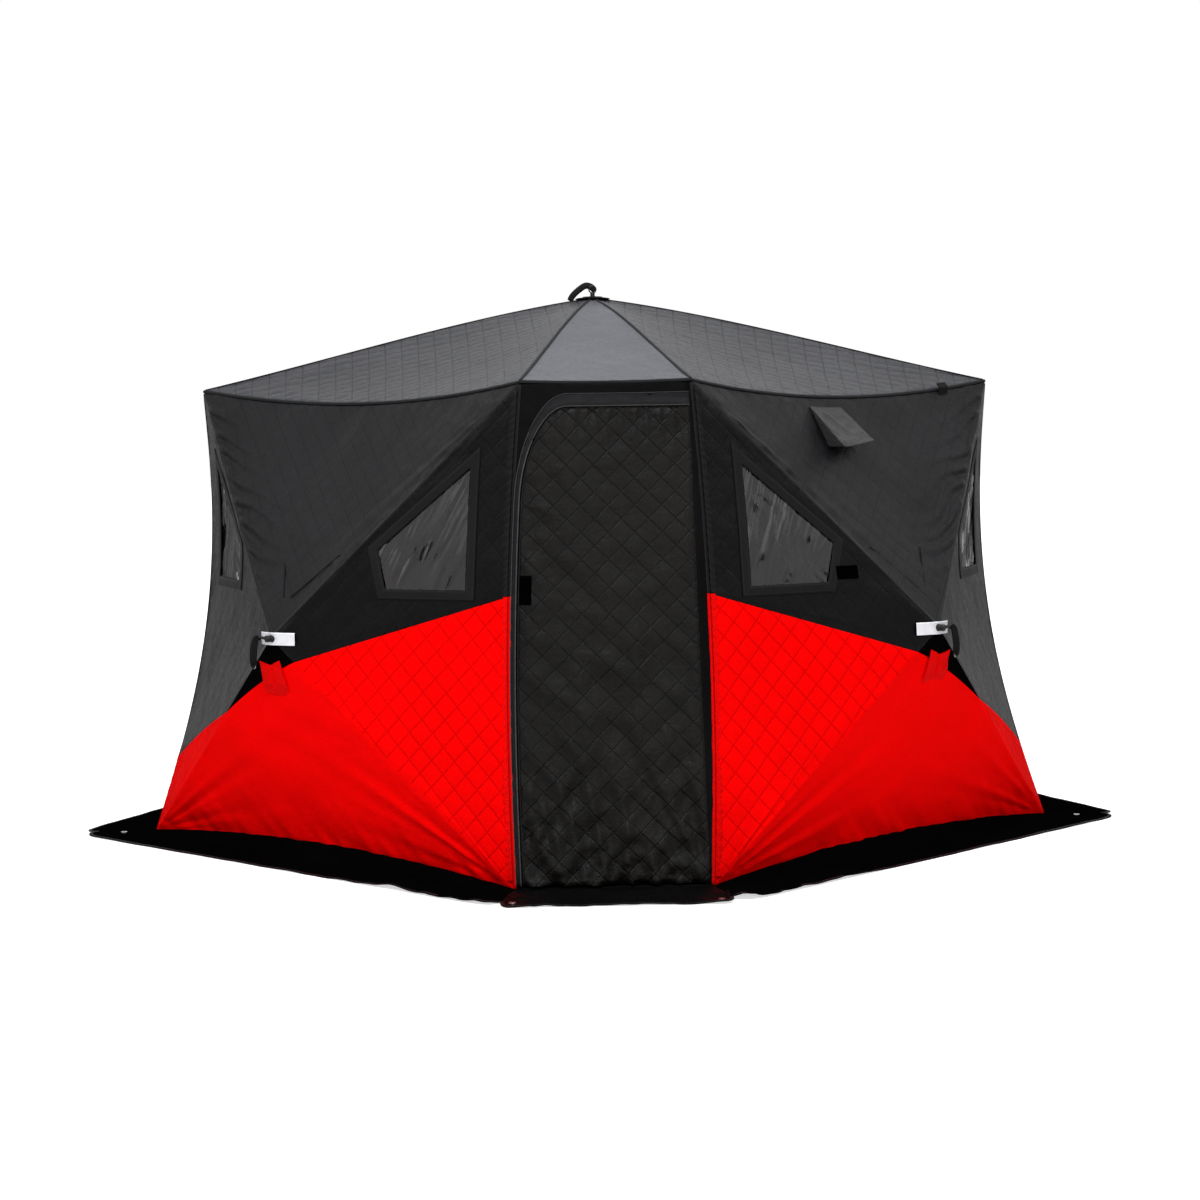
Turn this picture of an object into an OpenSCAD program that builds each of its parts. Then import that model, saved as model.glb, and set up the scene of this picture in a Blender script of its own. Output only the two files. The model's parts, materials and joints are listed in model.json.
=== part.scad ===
// Pop-up fabric shelter with five outward-popping walls, a narrow flat door
// panel, a low pyramid roof and a skirt that lies on the ground.
// Plan: every corner is on a circle. Azimuth is measured from -Y towards +X.
// Wall frame: x runs along the wall, -y is outward, z is up.

/* [Shell] */
// Radius of the corner circle at the ground
base_r = 1906; // [1500:1:2400]
// Radius of the corner circle at the eave
eave_r = 1669; // [1300:1:2100]
// Height of the eave seam
eave_h = 1830; // [1500:1:2200]
// How far the roof rises from the eave to the middle
roof_rise = 386; // [250:1:600]
// Half of the angle that the door panel takes in plan
door_half_angle = 10.84; // [9:0.01:13]
// Thickness of the quilted wall and roof fabric
fabric_t = 6; // [3:0.5:10]
// Gap left at each sewn seam
seam = 0.3; // [0.2:0.1:0.6]

/* [Walls] */
// Height of the hub in each wall
hub_h = 875; // [700:1:1050]
// How far the hub pops out beyond the plane of its wall
hub_pop = 330; // [200:1:450]
// Height of the lower panel at a corner where it is high
band_high_h = 1050; // [950:1:1150]
// Height of the lower panel at a corner where it is low
band_low_h = 300; // [200:1:400]
// Share of the lower ridge that the upper panel keeps on the high side
band_high_ridge = 0.10; // [0.05:0.01:0.2]
// Share of the lower ridge that the upper panel keeps on the low side
band_low_ridge = 0.38; // [0.3:0.01:0.5]

/* [Windows] */
// Distance from the middle of the wall to the window's inner end
window_in_u = 470; // [420:1:520]
// Distance from the wall's corner edge in to the window
window_edge = 178; // [120:1:220]
// Height of the window's level lower edge above the hub
window_low = 193; // [150:1:230]
// Height of the window's inner upper corner above the hub
window_mid = 338; // [300:1:380]
// Distance from the eave down to the window's outer upper corner
window_top_down = 308; // [280:1:400]
// How far the inner upper corner lies nearer to the middle
window_lean = 52; // [20:1:70]
// Thickness of a clear pane
pane_t = 2; // [1:0.5:4]

/* [Door] */
// Width of the fixed strip on the zip side of the door
zip_jamb_w = 22; // [15:1:40]
// Width of the fixed strip on the sewn side of the door
sewn_jamb_w = 10; // [8:1:20]
// Distance from the eave down to the door leaf's upper edge
leaf_top_down = 95; // [80:1:250]
// Height of the door leaf's hem
leaf_hem_h = 15; // [12:1:40]
// Width of the leaf's rounded upper corner
leaf_round_w = 150; // [80:1:250]
// Height of the leaf's rounded upper corner
leaf_round_h = 340; // [150:1:450]
// Clearance round the leaf's free edges
leaf_gap = 5; // [5:0.5:10]
// Width of the storm flap over the top of the leaf
flap_w = 48; // [30:1:60]
// Thickness of the storm flap
flap_t = 3; // [2:0.5:5]

/* [Skirt] */
// Width of the skirt on the ground beyond a wall
skirt_w = 280; // [200:1:400]
// Thickness of the skirt
skirt_t = 5; // [3:0.5:8]
// Distance from a wall out to its anchor eyelet
eyelet_out = 130; // [60:1:180]
// Distance from the door out to its anchor eyelets
eyelet_door_out = 255; // [150:1:290]
// Distance from the skirt's end seam to an eyelet
eyelet_side = 40; // [25:1:80]
// Outer radius of an eyelet
eyelet_r = 12.5; // [10:0.5:16]
// Radius of an eyelet's hole
eyelet_bore_r = 6.5; // [4:0.5:8]
// Height of an eyelet
eyelet_h = 6.5; // [4:0.5:10]

/* [Frame] */
// Radius of a pole
pole_r = 6; // [4:0.5:8]
// Radius of a hub disc
hub_r = 40; // [30:1:60]
// Thickness of a hub disc
hub_t = 26; // [20:1:40]
// Distance from the fabric's peak in to the middle of the hub disc
hub_back = 48; // [44:1:70]
// Radius of the bolt through a hub
bolt_r = 5; // [3:0.5:8]
// Clearance round a bolt
bolt_gap = 0.3; // [0.2:0.1:1]
// Radius of the knob on the end of a wall bolt
knob_r = 13; // [8:1:20]
// Thickness of the knob
knob_t = 14; // [8:1:20]
// Radius of the ball that holds the poles at an eave corner
socket_r = 22; // [16:1:30]
// Distance from the eave corner in to the ball
socket_in = 48; // [42:1:80]
// Distance from the eave down to the ball
socket_down = 26; // [24:1:50]
// Radius of the foot that holds the poles at a base corner
foot_r = 26; // [20:1:34]
// Height of the middle of a foot
foot_h = 20; // [14:1:28]
// Clearance between a foot and the fabric that leans in over it
foot_gap = 3; // [0.5:0.5:8]

/* [Trim] */
// Length of the reflective strip at a hub
strip_l = 170; // [120:1:220]
// Height of the reflective strip
strip_h = 48; // [30:1:60]
// Thickness of the reflective strip
strip_t = 1.5; // [1:0.5:3]
// Width of a pull strap
strap_w = 25; // [20:1:40]
// Thickness of a pull strap
strap_t = 3; // [2:0.5:4]
// Length of a pull strap below its bolt
strap_drop = 110; // [60:1:200]
// Width of the tab under a hub
tab_w = 118; // [80:1:150]
// Height of the tab under a hub
tab_h = 105; // [60:1:130]
// Distance from the hub down to the tab
tab_down = 92; // [60:1:120]
// Thickness of the tab
tab_t = 4; // [2:0.5:6]
// Width of the vent hood
vent_w = 200; // [150:1:260]
// Height of the vent hood
vent_h = 155; // [120:1:200]
// Distance from the eave down to the vent hood
vent_down = 100; // [60:1:160]
// Distance from the middle of the wall to the middle of the vent hood
vent_side = 125; // [0:1:160]
// How far the vent hood stands out at its mouth
vent_out = 95; // [60:1:140]
// Thickness of the vent hood's sheet
vent_t = 4; // [3:0.5:6]
// Radius of the cap on the roof
cap_r = 42; // [30:1:60]
// Thickness of the cap on the roof
cap_t = 4; // [3:0.5:8]
// Radius of the lifting ring
ring_r = 15; // [10:1:25]
// Radius of the lifting ring's wire
ring_wire_r = 3; // [2:0.5:4]
// Height of the post under the lifting ring
post_h = 16; // [10:1:30]
// Distance from the middle out to the lower end of the lifting strap
lift_out = 82; // [70:1:110]

/* [Hidden] */

// Walls are numbered from the right of the door round to its left.
RIGHT_FRONT = 0;
RIGHT_REAR = 1;
REAR = 2;
LEFT_REAR = 3;
LEFT_FRONT = 4;
wall_count = 5;
walls = [for (k = [0 : wall_count - 1]) k];
corners = [for (i = [0 : wall_count]) i];

black = [0.16, 0.16, 0.17];
grey = [0.38, 0.38, 0.40];
red = [0.86, 0.06, 0.04];
pole_grey = [0.25, 0.27, 0.30];
metal = [0.75, 0.75, 0.76];

// Height of the roof fabric at the middle
apex_h = eave_h + roof_rise;

// Plan angles and the sizes that follow from them
half = (180 - door_half_angle) / wall_count;
function wall_az(k) = door_half_angle + half * (2 * k + 1);
function corner_az(i) = door_half_angle + 2 * half * i;

base_n = base_r * cos(half);
base_u = base_r * sin(half);
eave_n = eave_r * cos(half);
eave_u = eave_r * sin(half);
door_base_n = base_r * cos(door_half_angle);
door_base_u = base_r * sin(door_half_angle);
door_eave_n = eave_r * cos(door_half_angle);
door_eave_u = eave_r * sin(door_half_angle);
// Angle at which the door panel leans in
door_lean = atan((door_base_n - door_eave_n) / eave_h);

// Distance of a wall's flat plane from the centre, and of its hub
function plane_n(z) = base_n + (eave_n - base_n) * z / eave_h;
function edge_u(z) = base_u + (eave_u - base_u) * z / eave_h;
hub_n = plane_n(hub_h) + hub_pop;

// The skirt's corners are on one circle, so its widest reach sets the origin
skirt_n = base_n + skirt_w;
skirt_r = skirt_n / cos(half);
door_skirt_n = skirt_r * cos(door_half_angle);
plan_shift = (door_skirt_n - skirt_n) / 2;

// Outward distance of each of a wall's four facets at a point of its elevation
function low_n(p) = base_n + (hub_n - base_n) * p.y / hub_h;
function top_n(p) = eave_n + (hub_n - eave_n) * (eave_h - p.y) / (eave_h - hub_h);
function side_n(p) = plane_n(p.y) + hub_pop * (edge_u(p.y) - abs(p.x)) / edge_u(hub_h);
LOW = 0;
TOP = 1;
SIDE = 2;
function facet_n(facet, p) = facet == LOW ? low_n(p) : facet == TOP ? top_n(p) : side_n(p);

// A wall's inner face is narrower than its outer face by the mitre
mitre = fabric_t * tan(half) + seam / 2;
door_mitre = fabric_t * tan(door_half_angle) + seam / 2;

// Moves every edge of a convex counter-clockwise outline inward by d
function inward(a, b) = let (v = b - a) [-v.y, v.x] / norm(v);
function inset(outline, d) =
    [for (i = [0 : len(outline) - 1])
        let (n = len(outline))
        let (before = inward(outline[(i + n - 1) % n], outline[i]))
        let (after = inward(outline[i], outline[(i + 1) % n]))
        outline[i] + (before + after) * d / (1 + before * after)];

function mirrored(outline) =
    [for (i = [len(outline) - 1 : -1 : 0]) [-outline[i].x, outline[i].y]];
function on_side(outline, side) = side > 0 ? outline : mirrored(outline);

// A flat sheet that follows one facet. Its outline is drawn in the wall's
// elevation; lift is how far its outer face stands off the facet.
module sheet(outline, facet, lift, thick) {
    n = len(outline);
    outer = [for (p = outline) [p.x, -facet_n(facet, p) - lift, p.y]];
    inner = [for (p = outer) [p.x, p.y + thick, p.z]];
    sides = [for (i = [0 : n - 1]) [i, (i + 1) % n, (i + 1) % n + n, i + n]];
    polyhedron(
        points = concat(outer, inner),
        faces = concat([[for (i = [n - 1 : -1 : 0]) i]], [[for (i = [0 : n - 1]) i + n]], sides));
}

module in_plan() {
    translate([0, plan_shift, 0]) children();
}

module at_wall(k) {
    in_plan() rotate([0, 0, wall_az(k)]) children();
}

module at_corner(i) {
    in_plan() rotate([0, 0, corner_az(i)]) children();
}

// A rod from a to b that stops short of each end
module rod(a, b, r, short_a, short_b) {
    v = b - a;
    length = norm(v);
    translate(a)
        rotate([0, acos(v.z / length), atan2(v.y, v.x)])
            translate([0, 0, short_a])
                cylinder(r = r, h = length - short_a - short_b);
}

// ---- walls ----

// Where the lower panel is high: at the door, and at the two rear corners
function high_at(k, side) =
    k == REAR || (k == RIGHT_FRONT && side < 0) || (k == LEFT_FRONT && side > 0)
    || (k == RIGHT_REAR && side > 0) || (k == LEFT_REAR && side < 0);
function band_h(k, side) = high_at(k, side) ? band_high_h : band_low_h;
function ridge_share(k, side) = high_at(k, side) ? band_high_ridge : band_low_ridge;

hub_point = [0, hub_h];
function ridge_point(k, side) =
    let (f = ridge_share(k, side)) [side * f * (base_u - mitre), hub_h * (1 - f)];
base_point = [base_u - mitre, 0];
eave_point = [eave_u - mitre, eave_h];
function corner_point(k, side) =
    let (z = band_h(k, side)) [side * (edge_u(z) - mitre), z];
function with_side(p, side) = [side * p.x, p.y];

window_low_h = hub_h + window_low;
window_mid_h = hub_h + window_mid;
window_top_h = eave_h - window_top_down;
window_outline = [
    [window_in_u, window_low_h],
    [edge_u(window_low_h) - window_edge, window_low_h],
    [edge_u(window_top_h) - window_edge, window_top_h],
    [window_in_u - window_lean, window_mid_h]];

function side_upper(k) =
    [hub_point, ridge_point(k, 1), corner_point(k, 1), eave_point];
function side_upper_left(k) =
    [hub_point, with_side(eave_point, -1), corner_point(k, -1), ridge_point(k, -1)];
function side_lower(k) = [ridge_point(k, 1), base_point, corner_point(k, 1)];
function side_lower_left(k) =
    [ridge_point(k, -1), corner_point(k, -1), with_side(base_point, -1)];
top_outline = [hub_point, eave_point, with_side(eave_point, -1)];
function peak_outline(k) = [hub_point, ridge_point(k, -1), ridge_point(k, 1)];
function foot_outline(k) =
    [ridge_point(k, -1), with_side(base_point, -1), base_point, ridge_point(k, 1)];

module panel(outline, facet) {
    sheet(inset(outline, seam / 2), facet, 0, fabric_t);
}

// Cuts straight through a wall, outline in its elevation
module wall_cut(outline) {
    rotate([90, 0, 0]) linear_extrude(height = 2 * base_r) polygon(outline);
}

module bolt_cut() {
    translate([0, 0, hub_h]) rotate([90, 0, 0]) cylinder(r = bolt_r + bolt_gap, h = 2 * base_r);
}

module vent_cut() {
    wall_cut([
        [-vent_side - vent_w * 0.35, eave_h - vent_down - vent_h * 0.8],
        [-vent_side + vent_w * 0.35, eave_h - vent_down - vent_h * 0.8],
        [-vent_side + vent_w * 0.35, eave_h - vent_down - vent_h * 0.35],
        [-vent_side - vent_w * 0.35, eave_h - vent_down - vent_h * 0.35]]);
}

module upper_wall(k) {
    color(black) at_wall(k) difference() {
        union() {
            panel(top_outline, TOP);
            panel(peak_outline(k), LOW);
            difference() {
                panel(side_upper(k), SIDE);
                wall_cut(window_outline);
            }
            difference() {
                panel(side_upper_left(k), SIDE);
                wall_cut(mirrored(window_outline));
            }
        }
        bolt_cut();
        if (k == RIGHT_FRONT) vent_cut();
    }
}

module lower_wall(k) {
    color(red) at_wall(k) {
        panel(side_lower(k), SIDE);
        panel(side_lower_left(k), SIDE);
        panel(foot_outline(k), LOW);
    }
}

module windows(k) {
    color([0.75, 0.8, 0.82, 0.4]) at_wall(k)
        for (side = [-1, 1])
            sheet(inset(on_side(window_outline, side), seam), SIDE, (pane_t - fabric_t) / 2, pane_t);
}

// ---- frame ----

hub_centre = [0, -(hub_n - hub_back), hub_h];
function socket_at(side) =
    [side * (eave_r - socket_in) * sin(half), -(eave_r - socket_in) * cos(half), eave_h - socket_down];

// A foot stands in from its base corner, clear of the walls and of the door.
// A wall's side facet comes out by side_pop and leans in by side_lean, each
// per millimetre towards the hub and up.
side_pop = hub_pop / edge_u(hub_h);
side_lean = (base_n - eave_n + side_pop * (base_u - eave_u)) / eave_h;
foot_reach = foot_r + foot_gap;
foot_in_wall =
    (foot_reach * norm([side_pop, 1, side_lean]) + fabric_t + side_lean * foot_h)
    / (cos(half) + side_pop * sin(half));
foot_in_door =
    ((foot_reach + fabric_t) / cos(door_lean) + tan(door_lean) * foot_h) / cos(door_half_angle);
foot_in = max(foot_in_wall, foot_in_door);
function foot_at(side) =
    [side * (base_r - foot_in) * sin(half), -(base_r - foot_in) * cos(half), foot_h];

// A rod's flat end stays this far from the middle of a disc, so that it
// just clears the disc's rim
function disc_stop(a, b, axis) =
    let (share = abs((b - a) * axis) / norm(b - a))
    (hub_r + seam + pole_r * share) / sqrt(1 - share * share);

module wall_poles(k) {
    color(pole_grey) at_wall(k)
        for (side = [-1, 1]) {
            rod(hub_centre, socket_at(side), pole_r,
                disc_stop(hub_centre, socket_at(side), [0, 1, 0]), socket_r + seam);
            rod(hub_centre, foot_at(side), pole_r,
                disc_stop(hub_centre, foot_at(side), [0, 1, 0]), foot_r + seam);
        }
}

// Along the bolt, from the disc out: fabric, strip, strap, knob
strip_n = hub_n + seam;
strap_n = strip_n + strip_t + seam;
knob_n = strap_n + strap_t + seam;

module wall_hubs() {
    color(black)
        for (k = walls) at_wall(k) translate([0, 0, hub_h]) rotate([90, 0, 0]) {
            translate([0, 0, hub_n - hub_back - hub_t / 2]) cylinder(r = hub_r, h = hub_t);
            translate([0, 0, hub_n - hub_back]) cylinder(r = bolt_r, h = knob_n - hub_n + hub_back + 1);
            translate([0, 0, knob_n]) cylinder(r = knob_r, h = knob_t);
        }
}

module eave_sockets() {
    color(black)
        for (i = corners) at_corner(i)
            translate(corner_socket) sphere(r = socket_r);
}

module base_feet() {
    color(black)
        for (i = corners) at_corner(i) translate([0, -(base_r - foot_in), 0])
            intersection() {
                translate([0, 0, foot_h]) sphere(r = foot_r);
                cylinder(r = 2 * foot_r, h = 2 * foot_r + foot_h);
            }
}

// ---- roof ----

// Underside of the roof fabric: it sits on the top edge of the walls
roof_low_h = eave_h + seam;
roof_peak_h = apex_h - fabric_t;

module roof_panel(az, n, u) {
    outline = inset([[-u, -n], [u, -n], [0, 0]], seam / 2);
    under = [for (p = outline) [p.x, p.y, roof_peak_h + (roof_low_h - roof_peak_h) * -p.y / n]];
    over = [for (p = under) [p.x, p.y, p.z + fabric_t]];
    color(grey) in_plan() rotate([0, 0, az]) difference() {
        polyhedron(
            points = concat(under, over),
            faces = [[0, 1, 2], [5, 4, 3], [0, 3, 4, 1], [1, 4, 5, 2], [2, 5, 3, 0]]);
        translate([0, 0, eave_h]) cylinder(r = bolt_r + bolt_gap, h = apex_h);
    }
}

module roof_over(k) {
    roof_panel(wall_az(k), eave_n, eave_u);
}

roof_hub_h = roof_peak_h - hub_back;

roof_centre = [0, 0, roof_hub_h];
corner_socket = [0, -(eave_r - socket_in), eave_h - socket_down];

module roof_poles() {
    color(pole_grey)
        for (i = corners) at_corner(i)
            rod(roof_centre, corner_socket, pole_r,
                disc_stop(roof_centre, corner_socket, [0, 0, 1]), socket_r + seam);
}

cap_h = apex_h + seam;
post_low_h = cap_h + cap_t + seam;

module roof_hub() {
    color(black) in_plan() {
        translate([0, 0, roof_hub_h - hub_t / 2]) cylinder(r = hub_r, h = hub_t);
        translate([0, 0, roof_hub_h]) cylinder(r = bolt_r, h = cap_h + cap_t - roof_hub_h);
    }
}

module roof_cap() {
    color(black) in_plan() translate([0, 0, cap_h]) difference() {
        cylinder(r = cap_r, h = cap_t);
        translate([0, 0, -1]) cylinder(r = bolt_r + bolt_gap, h = cap_t + 2);
    }
}

module roof_ring() {
    color(metal) in_plan() translate([0, 0, post_low_h]) {
        cylinder(r = 2 * bolt_r, h = post_h);
        translate([0, 0, post_h + ring_r]) rotate([90, 0, 0])
            rotate_extrude() translate([ring_r, 0]) circle(r = ring_wire_r);
    }
}

// The strap leans out from the side of the ring to the left, down on to the
// roof. Both ends are given as distance from the middle and height.
ring_mid_h = post_low_h + post_h + ring_r;
roof_slope = (apex_h - roof_low_h - fabric_t) / eave_n;
strap_ridge_az = corner_az(1);
lift_top = [ring_r + ring_wire_r + strap_t / 2, ring_mid_h + strap_t / 3];
lift_foot_h =
    apex_h - roof_slope * (lift_out * cos(90 - strap_ridge_az) - strap_w / 2 * sin(90 - strap_ridge_az))
    * cos(half) + strap_t / 2;
lift_foot = [lift_out, lift_foot_h];

module roof_strap() {
    reach = lift_foot - lift_top;
    color(black) in_plan() rotate([0, 0, -90])
        translate([0, -lift_top.x, lift_top.y]) rotate([-atan2(reach.x, -reach.y), 0, 0])
            translate([-strap_w / 2, -strap_t / 2, -norm(reach)])
                cube([strap_w, strap_t, norm(reach)]);
}

// ---- trim on the walls ----

module reflective_strips() {
    color([0.9, 0.9, 0.92])
        for (k = walls) at_wall(k) difference() {
            translate([-strip_l / 2, -strip_n - strip_t, hub_h - strip_h / 2])
                cube([strip_l, strip_t, strip_h]);
            bolt_cut();
        }
}

module pull_straps() {
    color(black)
        for (k = walls) at_wall(k) difference() {
            translate([-strap_w / 2, -strap_n - strap_t, hub_h - strap_drop])
                cube([strap_w, strap_t, strap_drop + knob_r]);
            bolt_cut();
        }
}

module hub_tabs() {
    color(red)
        for (k = walls) at_wall(k)
            sheet([
                [-tab_w / 2, hub_h - tab_down - tab_h], [tab_w / 2, hub_h - tab_down - tab_h],
                [tab_w / 3, hub_h - tab_down], [-tab_w / 3, hub_h - tab_down]],
                LOW, seam + tab_t, tab_t);
}

// Side view of the vent hood: outward distance, height
vent_top_h = eave_h - vent_down;
vent_low_h = vent_top_h - vent_h;
vent_drop = vent_t * 1.5;
function vent_seat(z) = [top_n([0, z]) + seam, z];

module vent_part(outline, u, w) {
    translate([u, 0, 0]) rotate([90, 0, 90]) linear_extrude(height = w)
        polygon([for (p = outline) [-p.x, p.y]]);
}

module vent_hood() {
    left = -vent_side - vent_w / 2;
    mouth = vent_seat(vent_low_h) + [vent_out, 0];
    cheek = [vent_seat(vent_top_h - vent_drop - seam), mouth, vent_seat(vent_low_h)];
    cover = [
        vent_seat(vent_top_h - vent_drop), vent_seat(vent_top_h),
        mouth + [vent_t, 0], mouth + [seam, 0]];
    color(black) at_wall(RIGHT_FRONT) {
        vent_part(cover, left, vent_w);
        vent_part(cheek, left, vent_t);
        vent_part(cheek, left + vent_w - vent_t, vent_t);
    }
}

// ---- door ----

function door_edge(z) = door_base_u + (door_eave_u - door_base_u) * z / eave_h;
function open_left(z) = zip_jamb_w - door_edge(z);
function open_right(z) = door_edge(z) - sewn_jamb_w;
leaf_top_h = eave_h - leaf_top_down;
leaf_round_low = leaf_top_h - leaf_round_h;
round_steps = [0 : 6 : 90];

// The zip side of the leaf, from the start of the round up to its top edge,
// moved out by grow_u sideways and grow_h upward
function round_path(grow_u, grow_h) =
    [for (a = round_steps)
        let (z = leaf_round_low + (leaf_round_h + grow_h) * sin(a))
        [open_left(z) + leaf_gap - grow_u + (leaf_round_w + grow_u) * (1 - cos(a)), z]];

// The door panel's outlines are drawn in elevation and laid on its lean
module door_sheet(outline, lift, thick) {
    in_plan() translate([0, -door_base_n, 0]) rotate([90 - door_lean, 0, 0])
        translate([0, 0, lift]) linear_extrude(height = thick)
            polygon([for (p = outline) [p.x, p.y / cos(door_lean)]]);
}

leaf_outline = concat(
    [[open_left(leaf_hem_h) + leaf_gap, leaf_hem_h],
     [open_right(leaf_hem_h) - seam, leaf_hem_h],
     [open_right(leaf_top_h) - seam, leaf_top_h]],
    [for (i = [len(round_path(0, 0)) - 1 : -1 : 0]) round_path(0, 0)[i]]);

module door_leaf() {
    color(black) door_sheet(leaf_outline, -fabric_t, fabric_t);
}

header_h = leaf_top_h + leaf_gap;
function outer_left(z) = door_mitre - door_edge(z);

// The inner face of the jambs stays just off the ground
jamb_low_h = fabric_t * sin(door_lean) + seam;

module door_surround() {
    zip_jamb = [
        [outer_left(jamb_low_h), jamb_low_h], [open_left(jamb_low_h), jamb_low_h],
        [open_left(leaf_round_low - seam), leaf_round_low - seam],
        [outer_left(leaf_round_low - seam), leaf_round_low - seam]];
    sewn_jamb = [
        [open_right(jamb_low_h) + seam, jamb_low_h], [-outer_left(jamb_low_h), jamb_low_h],
        [-outer_left(header_h - seam), header_h - seam],
        [open_right(header_h - seam) + seam, header_h - seam]];
    header = concat(
        [[outer_left(leaf_round_low), leaf_round_low]],
        round_path(leaf_gap, leaf_gap),
        [[-outer_left(header_h), header_h], [-outer_left(eave_h), eave_h],
         [outer_left(eave_h), eave_h]]);
    color(black) {
        door_sheet(zip_jamb, -fabric_t, fabric_t);
        door_sheet(sewn_jamb, -fabric_t, fabric_t);
        door_sheet(header, -fabric_t, fabric_t);
    }
}

module storm_flap() {
    flap_low = leaf_hem_h;
    flap_right_low = [open_right(header_h), header_h];
    flap_right_top = [open_right(header_h + flap_w), header_h + flap_w];
    side_w = zip_jamb_w - door_mitre;
    outer_round = round_path(side_w + leaf_gap, flap_w + leaf_gap);
    outline = concat(
        [[open_left(flap_low) - side_w, flap_low], [open_left(flap_low), flap_low]],
        round_path(leaf_gap, leaf_gap),
        [flap_right_low, flap_right_top],
        [for (i = [len(outer_round) - 1 : -1 : 0]) outer_round[i]]);
    color(black) door_sheet(outline, seam, flap_t);
}

// ---- skirt ----

// The wall leans out over the skirt's inner edge, most of all by its corner
skirt_in_n = side_n([(base_u - mitre) * (1 - skirt_t / hub_h), skirt_t]) + seam;

module skirt_sheet(from_n, to_n, angle) {
    linear_extrude(height = skirt_t) polygon([
        [-from_n * tan(angle) + seam, -from_n], [-to_n * tan(angle) + seam, -to_n],
        [to_n * tan(angle) - seam, -to_n], [from_n * tan(angle) - seam, -from_n]]);
}

// One eyelet by each corner: [wall, side]
wall_eyelets = [[RIGHT_FRONT, 1], [RIGHT_REAR, 1], [LEFT_REAR, -1], [LEFT_FRONT, -1]];

module at_wall_eyelet(side) {
    n = base_n + eyelet_out;
    translate([side * (n * tan(half) - eyelet_side), -n, 0]) children();
}

module at_door_eyelet(side) {
    n = door_base_n + eyelet_door_out;
    translate([side * (n * tan(door_half_angle) - eyelet_side), -n, 0]) children();
}

module eyelet_seat() {
    translate([0, 0, -1]) cylinder(r = eyelet_r + seam, h = skirt_t + 2);
}

module wall_skirts() {
    color(black)
        for (k = walls) at_wall(k) difference() {
            skirt_sheet(skirt_in_n, skirt_n, half);
            for (e = wall_eyelets) if (e[0] == k) at_wall_eyelet(e[1]) eyelet_seat();
        }
}

module door_skirt() {
    color(black) in_plan() difference() {
        skirt_sheet(door_base_n + seam, door_skirt_n, door_half_angle);
        for (side = [-1, 1]) at_door_eyelet(side) eyelet_seat();
    }
}

module eyelet() {
    difference() {
        cylinder(r = eyelet_r, h = eyelet_h);
        translate([0, 0, -1]) cylinder(r = eyelet_bore_r, h = eyelet_h + 2);
    }
}

module skirt_eyelets() {
    color(metal) {
        for (e = wall_eyelets) at_wall(e[0]) at_wall_eyelet(e[1]) eyelet();
        in_plan() for (side = [-1, 1]) at_door_eyelet(side) eyelet();
    }
}

upper_wall(RIGHT_FRONT);  // upper_wall_right_front
upper_wall(RIGHT_REAR);  // upper_wall_right_rear
upper_wall(REAR);  // upper_wall_rear
upper_wall(LEFT_REAR);  // upper_wall_left_rear
upper_wall(LEFT_FRONT);  // upper_wall_left_front
lower_wall(RIGHT_FRONT);  // lower_wall_right_front
lower_wall(RIGHT_REAR);  // lower_wall_right_rear
lower_wall(REAR);  // lower_wall_rear
lower_wall(LEFT_REAR);  // lower_wall_left_rear
lower_wall(LEFT_FRONT);  // lower_wall_left_front
windows(RIGHT_FRONT);  // windows_right_front
windows(RIGHT_REAR);  // windows_right_rear
windows(REAR);  // windows_rear
windows(LEFT_REAR);  // windows_left_rear
windows(LEFT_FRONT);  // windows_left_front
wall_poles(RIGHT_FRONT);  // poles_right_front
wall_poles(RIGHT_REAR);  // poles_right_rear
wall_poles(REAR);  // poles_rear
wall_poles(LEFT_REAR);  // poles_left_rear
wall_poles(LEFT_FRONT);  // poles_left_front
roof_panel(0, door_eave_n, door_eave_u);  // roof_front
roof_over(RIGHT_FRONT);  // roof_right_front
roof_over(RIGHT_REAR);  // roof_right_rear
roof_over(REAR);  // roof_rear
roof_over(LEFT_REAR);  // roof_left_rear
roof_over(LEFT_FRONT);  // roof_left_front
roof_poles();
roof_hub();
roof_cap();
roof_ring();
roof_strap();
wall_hubs();
eave_sockets();
base_feet();
reflective_strips();
pull_straps();
hub_tabs();
wall_skirts();
door_skirt();
skirt_eyelets();
door_surround();
storm_flap();
door_leaf();
vent_hood();
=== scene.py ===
# %% [markdown]
# # A pop-up ice fishing hut
# The hut is a tent of quilted cloth. Five walls pop outward on sprung poles, a
# narrow flat panel holds the door, and a low roof closes the top. The packed
# CAD frame is loaded first: every size below is read from it, so the cloth
# always fits the poles, hubs and eyelets that the frame already holds.

# %% Load the frame
import json
import math

import bpy
import numpy as np
from mathutils import Matrix, Vector


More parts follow.
